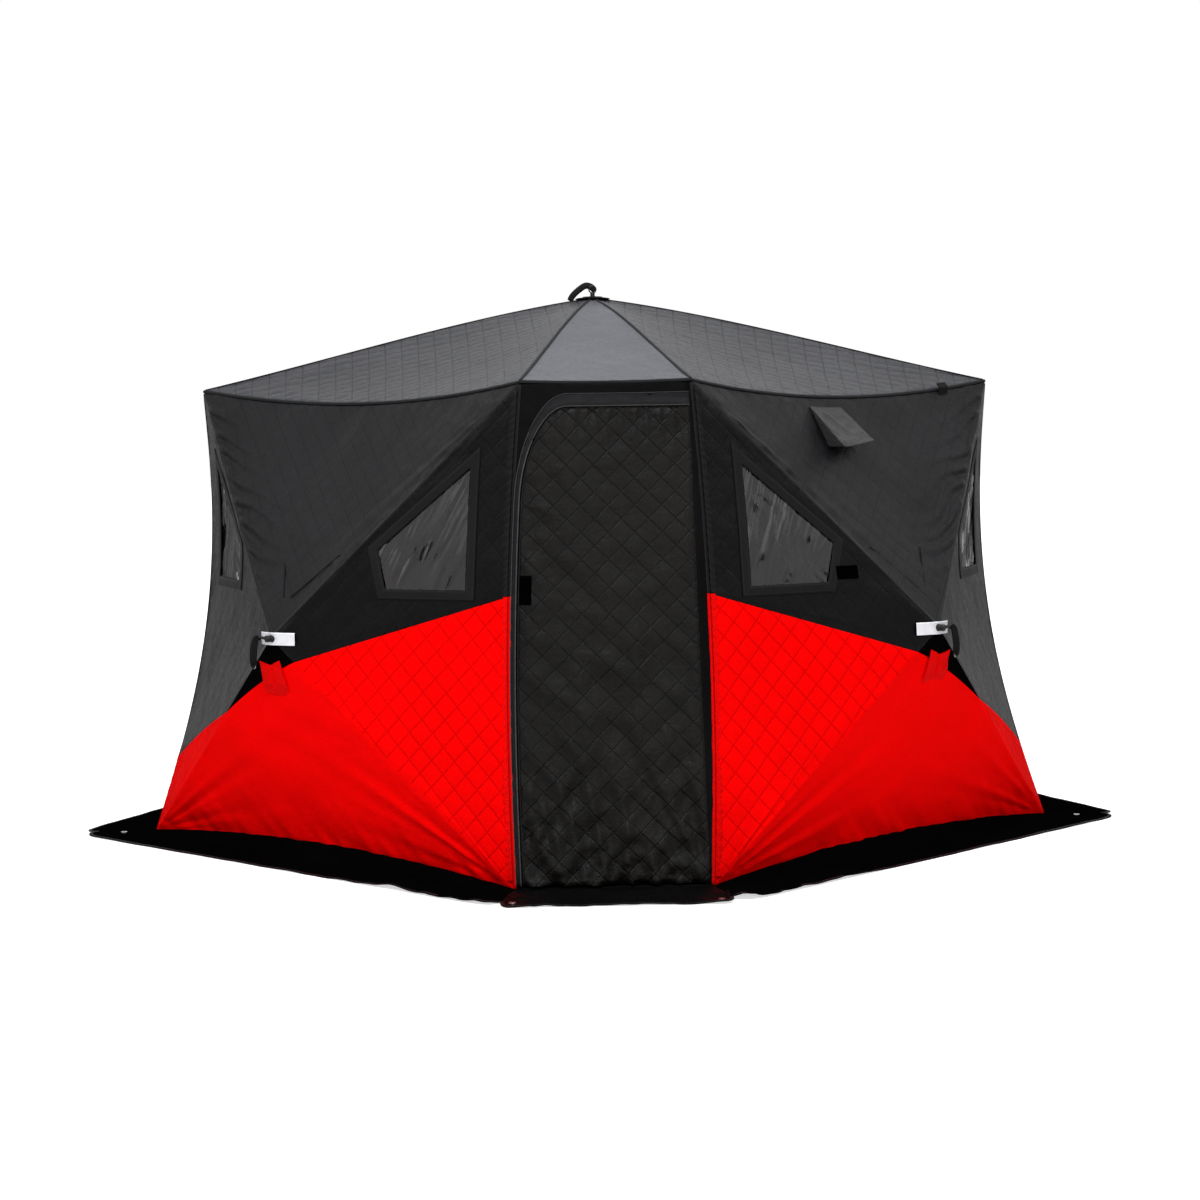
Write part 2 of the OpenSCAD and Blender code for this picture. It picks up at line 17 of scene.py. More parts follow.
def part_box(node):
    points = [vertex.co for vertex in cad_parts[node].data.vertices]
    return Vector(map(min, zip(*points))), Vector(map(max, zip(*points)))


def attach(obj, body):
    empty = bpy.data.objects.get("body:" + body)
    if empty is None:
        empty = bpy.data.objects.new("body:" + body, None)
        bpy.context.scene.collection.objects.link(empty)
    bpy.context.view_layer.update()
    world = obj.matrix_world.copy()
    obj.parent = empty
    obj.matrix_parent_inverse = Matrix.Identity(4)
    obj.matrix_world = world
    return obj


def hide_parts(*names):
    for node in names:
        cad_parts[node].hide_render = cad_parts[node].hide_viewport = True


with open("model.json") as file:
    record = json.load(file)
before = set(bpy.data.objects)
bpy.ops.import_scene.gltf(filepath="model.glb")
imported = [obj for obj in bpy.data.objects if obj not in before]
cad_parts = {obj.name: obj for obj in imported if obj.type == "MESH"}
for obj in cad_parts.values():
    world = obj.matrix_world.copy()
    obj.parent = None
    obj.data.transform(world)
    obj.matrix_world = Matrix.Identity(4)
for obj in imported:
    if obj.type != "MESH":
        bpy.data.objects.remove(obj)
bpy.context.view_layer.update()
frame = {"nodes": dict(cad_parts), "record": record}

# %% [markdown]
# The plan is a circle of corners. Two half widths at the ground, one of the
# rear wall and one of the door panel, fix the circle's radius and the angle
# that the door takes. Each depends on the other, so a few rounds settle both.

# %% Read the driving sizes
SEAM = 0.0003
CLOTH_T = 0.006
CENTRE = (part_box("roof_hub")[0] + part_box("roof_hub")[1]) / 2
EAVE_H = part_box("upper_wall_rear")[1].z
APEX_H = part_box("roof_rear")[1].z
HUB_H = (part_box("wall_hubs")[0].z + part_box("wall_hubs")[1].z) / 2
HUB_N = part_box("upper_wall_rear")[1].y - CENTRE.y
SKIRT_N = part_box("wall_skirts")[1].y - CENTRE.y
DOOR_SKIRT_N = CENTRE.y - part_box("door_skirt")[0].y
EAVE_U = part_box("roof_rear")[1].x + SEAM
rear_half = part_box("lower_wall_rear")[1].x
door_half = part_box("door_surround")[1].x
door_angle = 0.19
for settle in range(12):
    HALF = (math.pi - door_angle) / 5
    BASE_R = (rear_half + CLOTH_T * math.tan(HALF)) / math.sin(HALF)
    door_angle = math.asin((door_half + CLOTH_T * math.tan(door_angle)) / BASE_R)
DOOR_A = door_angle
EAVE_R = EAVE_U / math.sin(HALF)
BASE_U, BASE_N = BASE_R * math.sin(HALF), BASE_R * math.cos(HALF)
EAVE_N = EAVE_R * math.cos(HALF)
DOOR_BASE_U, DOOR_BASE_N = BASE_R * math.sin(DOOR_A), BASE_R * math.cos(DOOR_A)
DOOR_EAVE_U, DOOR_EAVE_N = EAVE_R * math.sin(DOOR_A), EAVE_R * math.cos(DOOR_A)
WALLS = ["right_front", "right_rear", "rear", "left_rear", "left_front"]
print(f"corner radius {BASE_R:.3f} at the ground, {EAVE_R:.3f} at the eave")
print(f"door half angle {math.degrees(DOOR_A):.2f}, wall half angle {math.degrees(HALF):.2f}")

# %% [markdown]
# The camera stands at eye level about ten metres off, a little left of the
# middle. A long lens keeps the hut's lines calm. Position and aim are numbers,
# so another view can reuse the same lens.

# %% Place the camera
CAMERA_AT = Vector((-0.282, -10.536, 1.675))
AIM = math.radians(-1.51)
PITCH = math.radians(-3.09)
ROLL = math.radians(-0.82)


def aim_matrix(aim, pitch, roll):
    """Columns right, up and back: the level axes turned up by pitch, then rolled."""
    level = Vector((-math.sin(aim), math.cos(aim), 0))
    side = Vector((math.cos(aim), math.sin(aim), 0))
    up = Vector((0, 0, 1))
    ahead = level * math.cos(pitch) + up * math.sin(pitch)
    head = up * math.cos(pitch) - level * math.sin(pitch)
    right = side * math.cos(roll) + head * math.sin(roll)
    top = head * math.cos(roll) - side * math.sin(roll)
    return Matrix((right, top, -ahead)).transposed()


camera_data = bpy.data.cameras.new("camera")
camera_data.sensor_width = 36
camera_data.lens = 74.2
camera_data.shift_x = 0.0031
camera_data.shift_y = -0.0359
camera_data.clip_end = 200
camera = bpy.data.objects.new("camera", camera_data)
camera.matrix_world = Matrix.Translation(CAMERA_AT) @ aim_matrix(AIM, PITCH, ROLL).to_4x4()
bpy.context.scene.collection.objects.link(camera)
bpy.context.scene.camera = camera
print("camera distance", round((CAMERA_AT - CENTRE).length, 2))

# %% [markdown]
# ## Shading helpers
# Every finish is a small node tree. A short helper adds a node, fills its
# sockets and returns it, so each material reads from top to bottom like a
# recipe.

# %% Node helpers


class Recipe:
    """A material's node tree with short calls for the nodes it needs."""

    def __init__(self, name):
        """Starts an empty material: one shader joined to the output."""
        self.material = bpy.data.materials.new(name)
        self.material.use_nodes = True
        self.tree = self.material.node_tree
        self.tree.nodes.clear()
        self.shader = self.add("ShaderNodeBsdfPrincipled")
        self.out = self.add("ShaderNodeOutputMaterial")
        self.join(self.shader.outputs[0], self.out.inputs["Surface"])

    def add(self, kind, **settings):
        """Adds one node with its settings."""
        node = self.tree.nodes.new(kind)
        for key, value in settings.items():
            setattr(node, key, value)
        return node

    def join(self, source, target):
        """Links a socket, or writes a plain value into it."""
        if hasattr(source, "is_output"):
            self.tree.links.new(source, target)
        else:
            target.default_value = source

    def math(self, operation, a, b=0.0, c=0.0):
        """One math node on up to three values."""
        node = self.add("ShaderNodeMath", operation=operation)
        for socket, value in zip(node.inputs, (a, b, c)):
            self.join(value, socket)
        return node.outputs[0]

    def uv(self):
        """The cloth's own map: the vector and its two parts."""
        node = self.add("ShaderNodeUVMap", uv_map="Cloth")
        split = self.add("ShaderNodeSeparateXYZ")
        self.join(node.outputs[0], split.inputs[0])
        return node.outputs[0], split.outputs[0], split.outputs[1]

    def place(self):
        """Object coordinates."""
        return self.add("ShaderNodeTexCoord").outputs["Object"]

    def noise(self, where, scale, detail=4.0, rough=0.5):
        """Noise read at the given coordinates."""
        node = self.add("ShaderNodeTexNoise")
        self.join(where, node.inputs["Vector"])
        node.inputs["Scale"].default_value = scale
        node.inputs["Detail"].default_value = detail
        node.inputs["Roughness"].default_value = rough
        return node.outputs["Fac"]

    def remap(self, value, low, high, to_low, to_high):
        """Straight line from the range low..high to the range to_low..to_high."""
        node = self.add("ShaderNodeMapRange")
        for socket, number in zip(node.inputs, (value, low, high, to_low, to_high)):
            self.join(number, socket)
        return node.outputs[0]

    def mix(self, share, a, b):
        """Colour between a and b by share."""
        node = self.add("ShaderNodeMix", data_type="RGBA")
        self.join(share, node.inputs[0])
        self.join(a, node.inputs[6])
        self.join(b, node.inputs[7])
        return node.outputs[2]

    def bump(self, height, distance, strength=1.0, under=None):
        """Normal tilted by a height in metres."""
        node = self.add("ShaderNodeBump")
        node.inputs["Strength"].default_value = strength
        node.inputs["Distance"].default_value = distance
        self.join(height, node.inputs["Height"])
        if under is not None:
            self.join(under, node.inputs["Normal"])
        return node.outputs[0]

    def set(self, **values):
        """Plain values on the shader's sockets, underscores for spaces."""
        for key, value in values.items():
            self.shader.inputs[key.replace("_", " ")].default_value = value

    def link(self, **values):
        """Links into the shader's sockets, underscores for spaces."""
        for key, value in values.items():
            self.join(value, self.shader.inputs[key.replace("_", " ")])


# %% [markdown]
# The hut's cloth is insulated: a polyester face, a thin batting and a lining,
# stitched together in squares that stand on their corners. The squares are
# seventy millimetres wide. The same formula gives the relief of the mesh and
# the fine stitch lines of the material, so the two always agree.

# %% The quilted cloth's finish
QUILT = 0.070
WHITE = (1, 1, 1, 1)


def quilt_lines(r, u, v):
    """Distance in metres from the nearest stitch line of either direction."""
    far = []
    for sign in (1, -1):
        along = r.math("MULTIPLY", r.math("ADD", u, r.math("MULTIPLY", v, sign)), 0.70711 / QUILT)
        off = r.math("ABSOLUTE", r.math("SUBTRACT", r.math("FRACT", along), 0.5))
        far.append(r.math("MULTIPLY", r.math("SUBTRACT", 0.5, off), QUILT))
    return r.math("MINIMUM", far[0], far[1])


def cloth(name, dark, light, rough=0.55, sheen=0.15, gloss=0.35, quilted=1.0, crinkle=1.0, thread_and_groove_shade=0.4):
    """Woven polyester: colour drifts between two tones, fine light speckles are painted weave glint,
    the weave and the crinkles are bump, and quilted cloth has sunk stitch lines darkened as painted shade."""
    r = Recipe(name)
    vector, u, v = r.uv()
    drift = r.noise(r.place(), 2.3, 5.0, 0.6)
    # Painted glint: fine speckles lift the base colour towards the light tone, standing in for the weave's
    # glints.
    weave_glint = r.noise(vector, 230.0, 3.0, 0.75)
    tone = r.remap(drift, 0.3, 0.7, 0.0, 0.6)
    tone = r.math("ADD", tone, r.remap(weave_glint, 0.35, 0.68, -0.35, 0.75))
    colour = r.mix(tone, (*dark, 1), (*light, 1))
    weave_u = r.math("SINE", r.math("MULTIPLY", u, 2 * math.pi / 0.0016))
    weave_v = r.math("SINE", r.math("MULTIPLY", v, 2 * math.pi / 0.0016))
    height = r.math("MULTIPLY", r.math("MULTIPLY", weave_u, weave_v), 0.00006)
    fine = r.noise(vector, 55.0, 4.0, 0.62)
    height = r.math("ADD", height, r.math("MULTIPLY", fine, 0.0016 * crinkle))
    broad = r.noise(vector, 13.0, 3.0, 0.55)
    height = r.math("ADD", height, r.math("MULTIPLY", broad, 0.0035 * crinkle))
    if quilted:
        line = quilt_lines(r, u, v)
        sunk = r.remap(line, 0.0, 0.0035, 0.0, 1.0)
        pillow = r.math("POWER", r.remap(line, 0.0, QUILT / 2, 0.0, 1.0), 0.6)
        height = r.math("ADD", height, r.math("MULTIPLY", pillow, 0.0022 * quilted))
        height = r.math("ADD", height, r.math("MULTIPLY", sunk, 0.0022 * quilted))
        # Painted shade: the sunk stitch lines are darkened in colour towards a third of the dark tone; the
        # last argument sets how far.
        shade = r.remap(line, 0.0010, 0.0034, 1.0 - thread_and_groove_shade, 1.0)
        colour = r.mix(shade, (dark[0] * 0.35, dark[1] * 0.35, dark[2] * 0.35, 1), colour)
    r.link(Base_Color=colour, Normal=r.bump(height, 1.0, 1.0))
    r.link(Roughness=r.remap(fine, 0.3, 0.7, rough - 0.06, rough + 0.08))
    r.set(Sheen_Weight=sheen, Sheen_Roughness=0.4, Specular_IOR_Level=gloss)
    return r.material


BLACK_QUILT = cloth(
    "black quilted polyester", (0.0011, 0.0009, 0.0008), (0.0044, 0.0037,
        0.0035), 0.35, 0.0, 0.075, 0.25, 0.9,
    0.95)
# The top facets take a lighter copy of the black quilt: painted light from above, as these facets face up.
TOP_QUILT_PAINTED_LIGHT = cloth(
    "top quilted polyester, lightened as painted top light", (0.0032, 0.0032, 0.0035), (0.0105, 0.0105, 0.0115), 0.33, 0.0, 0.08, 0.20, 0.8,
    0.75)
# The low peak under each hub takes a darker copy of the black cloth: painted shade, as that facet faces
# down.
LOW_PEAK_PAINTED_SHADE = cloth("low peak polyester, darkened as painted shade", (0.0006, 0.0006, 0.0006), (0.0022, 0.0021, 0.0021), 0.6, 0.0,
    0.0, 0)
DOOR_QUILT = cloth(
    "door quilted polyester", (0.0024, 0.0020, 0.0017), (0.0085, 0.0076,
        0.0068), 0.31, 0.0, 0.075, 0.60, 1.7,
    0.9)
RED_QUILT = cloth(
    "red quilted polyester", (0.70, 0.0006, 0.0006), (0.90, 0.0007,
        0.0007), 0.62, 0.0, 0.006, 0.9, 1.0, 0.17)
RED_PLAIN = cloth("red plain polyester", (0.75, 0.0006, 0.0006), (0.92, 0.0007, 0.0007), 0.62, 0.0,
    0.006, 0, 1.0)
# The roof cloths have base colours well above the walls' black: painted sheen from the top light at a
# grazing angle; the smooth panel over the door is painted lighter still.
ROOF_QUILT_PAINTED_SHEEN = cloth(
    "roof quilted polyester, lightened as painted sheen", (0.0240, 0.0240, 0.0265), (0.0420, 0.0422,
        0.0470), 0.40, 0.0, 0.085, 0.8, 0.9, 0.6)
ROOF_PLAIN_PAINTED_SHEEN = cloth(
    "smooth roof polyester, lightened as painted sheen", (0.0520, 0.0535, 0.0600), (0.0780, 0.0800, 0.0900), 0.42, 0.0, 0.095, 0, 0.9)
PLAIN_BLACK = cloth(
    "plain black polyester", (0.0012, 0.0011, 0.0011), (0.0048, 0.0044, 0.0042), 0.46, 0.0, 0.02, 0)
print("cloth finishes", len(bpy.data.materials))

# %% [markdown]
# ## Sheets from grids
# Each panel is one or more grids of points. A grid is worked out in the flat,
# as fractions between control points, and then carried on to the hut by a
# formula. The control points are few: a panel's corners and its window's
# corners. Grids that share an edge share its points, so the panels can be
# merged into one cloth without cracks.

# %% Grid helpers
PITCH_WALL = 0.018


def steps(a, b, pitch):
    """How many cells of about the given pitch fit between two points."""
    return max(1, int(math.ceil(math.dist(a, b) / pitch)))


def lattice(control, counts_i, counts_j):
    """Piecewise bilinear grid through an array of control points (I, J, 2),
    with the given number of cells between each pair of controls."""
    control = np.asarray(control, float)

    def marks(counts):
        """Parameter values: each span is cut into its own count of equal steps."""
        parts = [i + np.arange(c) / c for i, c in enumerate(counts)]
        return np.append(np.concatenate(parts), len(counts))

    def along(values, at):
        """Straight blend between neighbouring rows at the given positions."""
        low = np.minimum(at.astype(int), len(values) - 2)
        share = (at - low)[(...,) + (None,) * (values.ndim - 1)]
        return values[low] * (1 - share) + values[low + 1] * share

    rows = along(control, marks(counts_i))
    return np.swapaxes(along(np.swapaxes(rows, 0, 1), marks(counts_j)), 0, 1)


def smooth(low, high, x):
    """Smooth step from 0 at low to 1 at high."""
    t = np.clip((x - low) / (high - low), 0, 1)
    return t * t * (3 - 2 * t)


def waves(a, b, length, seed, count=7):
    """Soft random relief from -1 to 1: the mean of sine waves of about one
    length that run in random directions with random starts."""
    rng = np.random.default_rng(seed)
    turn, start = rng.uniform(0, math.pi, count), rng.uniform(0, 2 * math.pi, count)
    size = length * rng.uniform(0.7, 1.4, count)
    total = 0
    for way, shift, wave in zip(turn, start, size):
        total = total + np.sin((a * math.cos(way) + b * math.sin(way)) * 2 * math.pi / wave + shift)
    return total / math.sqrt(count)


def quilt(u, v):
    """Pillow of each stitched square, 0 on the lines and 1 in the middle."""
    a, b = (u + v) * 0.70711 / QUILT, (u - v) * 0.70711 / QUILT
    return np.abs(np.sin(math.pi * a) * np.sin(math.pi * b)) ** 0.45


def surface(name, patches, body, material, outward, materials=()):
    """One mesh from grids. patches is a list of (points, uv, keep, slot); keep
    is a mask of the cells that stay. outward gives a direction for each point,
    and a grid whose faces look the other way is turned over."""
    spots, flats, cells, slots, start = [], [], [], [], 0
    for points, uv, keep, slot in patches:
        ni, nj = points.shape[:2]
        at = start + np.arange(ni * nj).reshape(ni, nj)
        cell = np.stack([at[:-1, :-1], at[1:, :-1], at[1:, 1:], at[:-1, 1:]], -1)
        side_a = points[1:, 1:] - points[:-1, :-1]
        side_b = points[:-1, 1:] - points[1:, :-1]
        facing = (np.cross(side_a, side_b) * outward(points[:-1, :-1])).sum()
        if facing < 0:
            cell = cell[..., ::-1]
        cell = cell.reshape(-1, 4) if keep is None else cell[keep]
        spots.append(points.reshape(-1, 3))
        flats.append(uv.reshape(-1, 2))
        cells.append(cell)
        slots.append(np.full(len(cell), slot))
        start += ni * nj
    spots, flats = np.concatenate(spots), np.concatenate(flats)
    cells, slots = np.concatenate(cells), np.concatenate(slots)
    keys = np.round(spots / 2e-5).astype(np.int64)
    _, first, same = np.unique(keys, axis=0, return_index=True, return_inverse=True)
    merged = same.reshape(-1)[cells]
    corner = merged != np.roll(merged, 1, axis=1)
    whole = corner.sum(1) >= 3
    merged, corner, cells, slots = merged[whole], corner[whole], cells[whole], slots[whole]
    used, joined = np.unique(merged[corner], return_inverse=True)
    mesh = bpy.data.meshes.new(name)
    mesh.vertices.add(len(used))
    mesh.vertices.foreach_set("co", spots[first[used]].astype(np.float32).ravel())
    mesh.loops.add(len(joined))
    mesh.loops.foreach_set("vertex_index", joined.astype(np.int32).ravel())
    totals = corner.sum(1)
    mesh.polygons.add(len(totals))
    mesh.polygons.foreach_set("loop_start", np.append(0, np.cumsum(totals)[:-1]).astype(np.int32))
    mesh.polygons.foreach_set("material_index", slots.astype(np.int32))
    mesh.polygons.foreach_set("use_smooth", np.ones(len(totals), bool))
    layer = mesh.uv_layers.new(name="Cloth")
    mesh.update(calc_edges=True)
    mesh.validate()
    layer.data.foreach_set("uv", flats[cells[corner]].astype(np.float32).ravel())
    for m in materials or (material,):
        mesh.materials.append(m)
    piece = bpy.data.objects.new(name, mesh)
    bpy.context.scene.collection.objects.link(piece)
    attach(piece, body)
    return piece


def thicken(piece, thick, offset=-1.0):
    """Gives a sheet its thickness, inward from the face that shows."""
    modifier = piece.modifiers.new("thickness", "SOLIDIFY")
    modifier.thickness = thick
    modifier.offset = offset
    modifier.use_even_offset = False
    return piece


def away(points):
    """Outward direction: away from the hut's middle at half its height."""
    return points - np.array([CENTRE.x, CENTRE.y, 0.9])


def declare(piece, flat=None, width=None):
    """Says what a sheet was cut from. Its area is the sum of its cells. The
    rectangle is the span of its cloth measures, or for a strip its width and
    the length that gives the area."""
    sizes = np.empty(len(piece.data.polygons))
    piece.data.polygons.foreach_get("area", sizes)
    area = float(sizes.sum())
    if width is not None:
        flat = (area / width, width)
    if flat is None:
        span = np.empty(len(piece.data.loops) * 2)
        piece.data.uv_layers[0].data.foreach_get("uv", span)
        flat = tuple(float(x) for x in np.ptp(span.reshape(-1, 2), axis=0))
        if area < 0.35 * flat[0] * flat[1]:
            flat = (area / (0.5 * flat[1]), flat[1])
    print(f"{piece.name}: cut from {flat[0]:.2f} by {flat[1]:.2f} m, {area:.2f} square metres")


# %% [markdown]
# ## The popped walls
# A wall is a shallow pyramid. Its hub is pushed out by two pairs of poles, so
# four taut facets run from the hub to the corners. Nothing holds the cloth
# between the poles. The corner seams therefore curve in, the eave seam sags,
# and the hem lifts in the middle. Each of these is a smooth curve that fades
# to nothing at the poles, and neighbours use the same curve, so they meet.

# %% The shape of a wall
CORNER_BOW = 0.115
DOOR_BOW = 0.030
EAVE_DROP = 0.066
EAVE_IN = 0.040
HEM_RISE = 0.052
TOP, SIDE, LOW = "top", "side", "low"


def place(turn, u, n, z):
    """From wall measures (along, outward, up) to the hut's frame."""
    x = u * math.cos(turn) + n * math.sin(turn)
    y = u * math.sin(turn) - n * math.cos(turn)
    return np.stack([x + CENTRE.x, y + CENTRE.y, z + 0 * u], -1)


def wall_turn(k):
    """Bearing of wall k's middle: the door's half angle plus 2k + 1 half angles of a wall."""
    return DOOR_A + HALF * (2 * k + 1)


def edge_u(z):
    """Half width of a wall at height z, straight from the ground's to the eave's."""
    return BASE_U + (EAVE_U - BASE_U) * z / EAVE_H


def plane_n(z):
    """Distance of a wall's flat plane from the middle at height z, straight in between."""
    return BASE_N + (EAVE_N - BASE_N) * z / EAVE_H


HUB_POP = HUB_N - plane_n(HUB_H)


def bow(t):
    """Bend of a corner seam: none at the ends, one at half height."""
    return np.clip(4 * t * (1 - t), 0, 1) ** 1.12


def corner_pull(k, side):
    """Where a corner seam bends to, in metres at half height."""
    if (k, side) == (0, -1):
        return np.array([DOOR_BOW, 0.012])
    if (k, side) == (4, 1):
        return np.array([-DOOR_BOW, 0.012])
    turn = wall_turn(k) + side * HALF
    return -CORNER_BOW * np.array([math.sin(turn), -math.cos(turn)])


def on_wall(k, facet, flat, lift=0.0):
    """Carries a flat grid (u, z) on to wall k: the facet's plane, bent by the
    curves of its free edge in proportion to the distance from the hub."""
    u, z = flat[..., 0], flat[..., 1]
    if facet == SIDE:
        side = 1 if u.mean() > 0 else -1
        n = plane_n(z) + HUB_POP * (edge_u(z) - np.abs(u)) / edge_u(HUB_H)
        lean = (BASE_U - EAVE_U) / EAVE_H
        far = np.clip((np.abs(u) + lean * (z - HUB_H)) / edge_u(HUB_H), 1e-6, 1)
        ends = np.clip((HUB_H + (z - HUB_H) / far) / EAVE_H, 0, 1)
        points = place(wall_turn(k), u, n + lift, z)
        points[..., :2] += corner_pull(k, side) * (bow(ends) * far**1.15)[..., None]
        return points
    if facet == TOP:
        far = np.clip((z - HUB_H) / (EAVE_H - HUB_H), 1e-6, 1)
        n = EAVE_N + (HUB_N - EAVE_N) * (1 - far)
        across = np.clip(u / (far * EAVE_U), -1, 1)
        slack = (1 - across**2) * far**1.3
        return place(wall_turn(k), u, n - EAVE_IN * slack + lift, z - EAVE_DROP * slack)
    far = np.clip((HUB_H - z) / HUB_H, 1e-6, 1)
    n = HUB_N + (BASE_N - HUB_N) * far
    across = np.clip(u / (far * BASE_U), -1, 1)
    slack = (1 - across**2) * far**1.6
    return place(wall_turn(k), u, n + 0.2 * HEM_RISE * slack + lift, z + HEM_RISE * slack)


def cloth_uv(facet, flat):
    """Flat measures stretched to the facet's own slope, in metres."""
    stretch = {TOP: (1.0, 1.098), SIDE: (1.051, 1.0), LOW: (1.0, 1.035)}[facet]
    return flat * np.array(stretch)


# %% [markdown]
# The red lower cloth meets the black upper cloth in a sweep: it starts high at
# one corner, runs down straight past the hub and then falls away to the other
# corner. A wall whose two sides match keeps it high on both.

# %% The colour line
HIGH, FALLING = "high", "falling"
HIGH_Z = EAVE_H * 0.574
FALL_Z = EAVE_H * 0.170


def side_kind(k, side):
    """High at the door and at the two rear corners, falling elsewhere."""
    high = [(0, -1), (1, 1), (2, -1), (2, 1), (3, -1), (4, 1)]
    return HIGH if (k, side) in high else FALLING


RIDGE_SHARE = {HIGH: 0.10, FALLING: 0.36}


def ridge_point(kind):
    """Where a side seam starts on the ridge from the hub's height down to the corner."""
    share = RIDGE_SHARE[kind]
    return np.array([BASE_U * share, HUB_H * (1 - share)])


def line_z(k, u):
    """Height of the colour line at u: straight from the high corner to the
    ridge, and a curve that falls faster and faster on the other side."""
    out = np.zeros_like(u)
    for side in (-1, 1):
        kind = side_kind(k, side)
        start = ridge_point(kind)
        mine = (u * side) >= start[0]
        end_z = HIGH_Z if kind == HIGH else FALL_Z
        run = np.clip((np.abs(u) - start[0]) / (edge_u(end_z) - start[0]), 0, 1)
        shape = run if kind == HIGH else 0.75 * run + 0.25 * run**2.2
        out = np.where(mine, start[1] + (end_z - start[1]) * shape, out)
    left, right = ridge_point(side_kind(k, -1)), ridge_point(side_kind(k, 1))
    run = (u + left[0]) / (left[0] + right[0])
    middle = left[1] + (right[1] - left[1]) * run + 0.012 * 4 * run * (1 - run)
    inside = (u > -left[0]) & (u < right[0])
    return np.where(inside, middle, out)


# %% [markdown]
# The window sits between the hub and the corner. Its four corners are control
# points of the side grid, so the hole needs no cutting: the cells of the
# middle block are simply left out.

# %% Window corners
WINDOW_IN_U = 0.470
WINDOW_EDGE = 0.178
WINDOW_LOW = HUB_H + 0.193
WINDOW_MID = HUB_H + 0.338
WINDOW_TOP = EAVE_H - 0.308
WINDOW_LEAN = 0.052


def window_corners(grow=0.0):
    """Inner low, outer low, outer top, inner top, each moved out by grow."""
    corners = np.array([
        [WINDOW_IN_U, WINDOW_LOW],
        [edge_u(WINDOW_LOW) - WINDOW_EDGE, WINDOW_LOW],
        [edge_u(WINDOW_TOP) - WINDOW_EDGE, WINDOW_TOP],
        [WINDOW_IN_U - WINDOW_LEAN, WINDOW_MID]])
    before = corners - np.roll(corners, 1, axis=0)
    after = np.roll(corners, -1, axis=0) - corners
    before = np.stack([before[:, 1], -before[:, 0]], -1) / np.linalg.norm(before, axis=1)[:, None]
    after = np.stack([after[:, 1], -after[:, 0]], -1) / np.linalg.norm(after, axis=1)[:, None]
    dot = (before * after).sum(1)[:, None]
    return corners + (before + after) * grow / (1 + dot)


def ridge_up(share):
    """Point at the given share of the ridge from the hub's height up to the eave's corner."""
    return np.array([EAVE_U * share, HUB_H + (EAVE_H - HUB_H) * share])


def ray_to_edge(point):
    """Where the line from the hub through a point meets the corner seam."""
    lean = (BASE_U - EAVE_U) / EAVE_H
    far = (point[0] + lean * (point[1] - HUB_H)) / edge_u(HUB_H)
    z = HUB_H + (point[1] - HUB_H) / far
    return np.array([edge_u(z), z])


RADIAL = {HIGH: (0.10, 0.45, 0.84), FALLING: (0.27, 0.47, 0.84)}
HUB = np.array([0.0, HUB_H])
radial_cells = [
    steps((0, 0), (0.27 * 1.33, 0), PITCH_WALL),
    steps((0, 0), (0.26, 0), PITCH_WALL),
    steps((0, 0), (0.50, 0), PITCH_WALL),
    steps((0, 0), (0.22, 0), PITCH_WALL)]
print("radial cells from the hub to a corner", sum(radial_cells))

# %% [markdown]
# Taut cloth still shows its slack. Short puckers stand beside the poles where
# the thread pulls, folds fan out from the corners that are pegged or tied, and
# the whole sheet drifts by a few millimetres. Each is a wave inside a window
# that fades, and all of them fade to nothing on the seams.

# %% Wrinkles of a wall


def fan(u, z, corner, toward, spread, count, reach, seed):
    """Folds that fan out of a corner: waves across the angle round it, for
    angles near one direction, fading with distance from the corner."""
    du, dz = u - corner[0], z - corner[1]
    away_from = np.hypot(du, dz) + 1e-6
    angle = np.arctan2(dz, du)
    off = np.angle(np.exp(1j * (angle - toward)))
    rng = np.random.default_rng(seed)
    wave = np.sin(count * off + rng.uniform(0, 6)) + 0.5 * np.sin(1.7 * count * off + rng.uniform(0, 6))
    inside = np.exp(-((off / spread) ** 2))
    size = np.clip(away_from / 0.25, 0, 1) * np.exp(-away_from / reach)
    return wave * inside * size


def crisp(wave):
    """A wave with narrow crests and wide troughs, as pulled cloth has."""
    return 2 * np.clip(0.5 + 0.5 * wave, 0, 1.3) ** 2.4 - 0.6


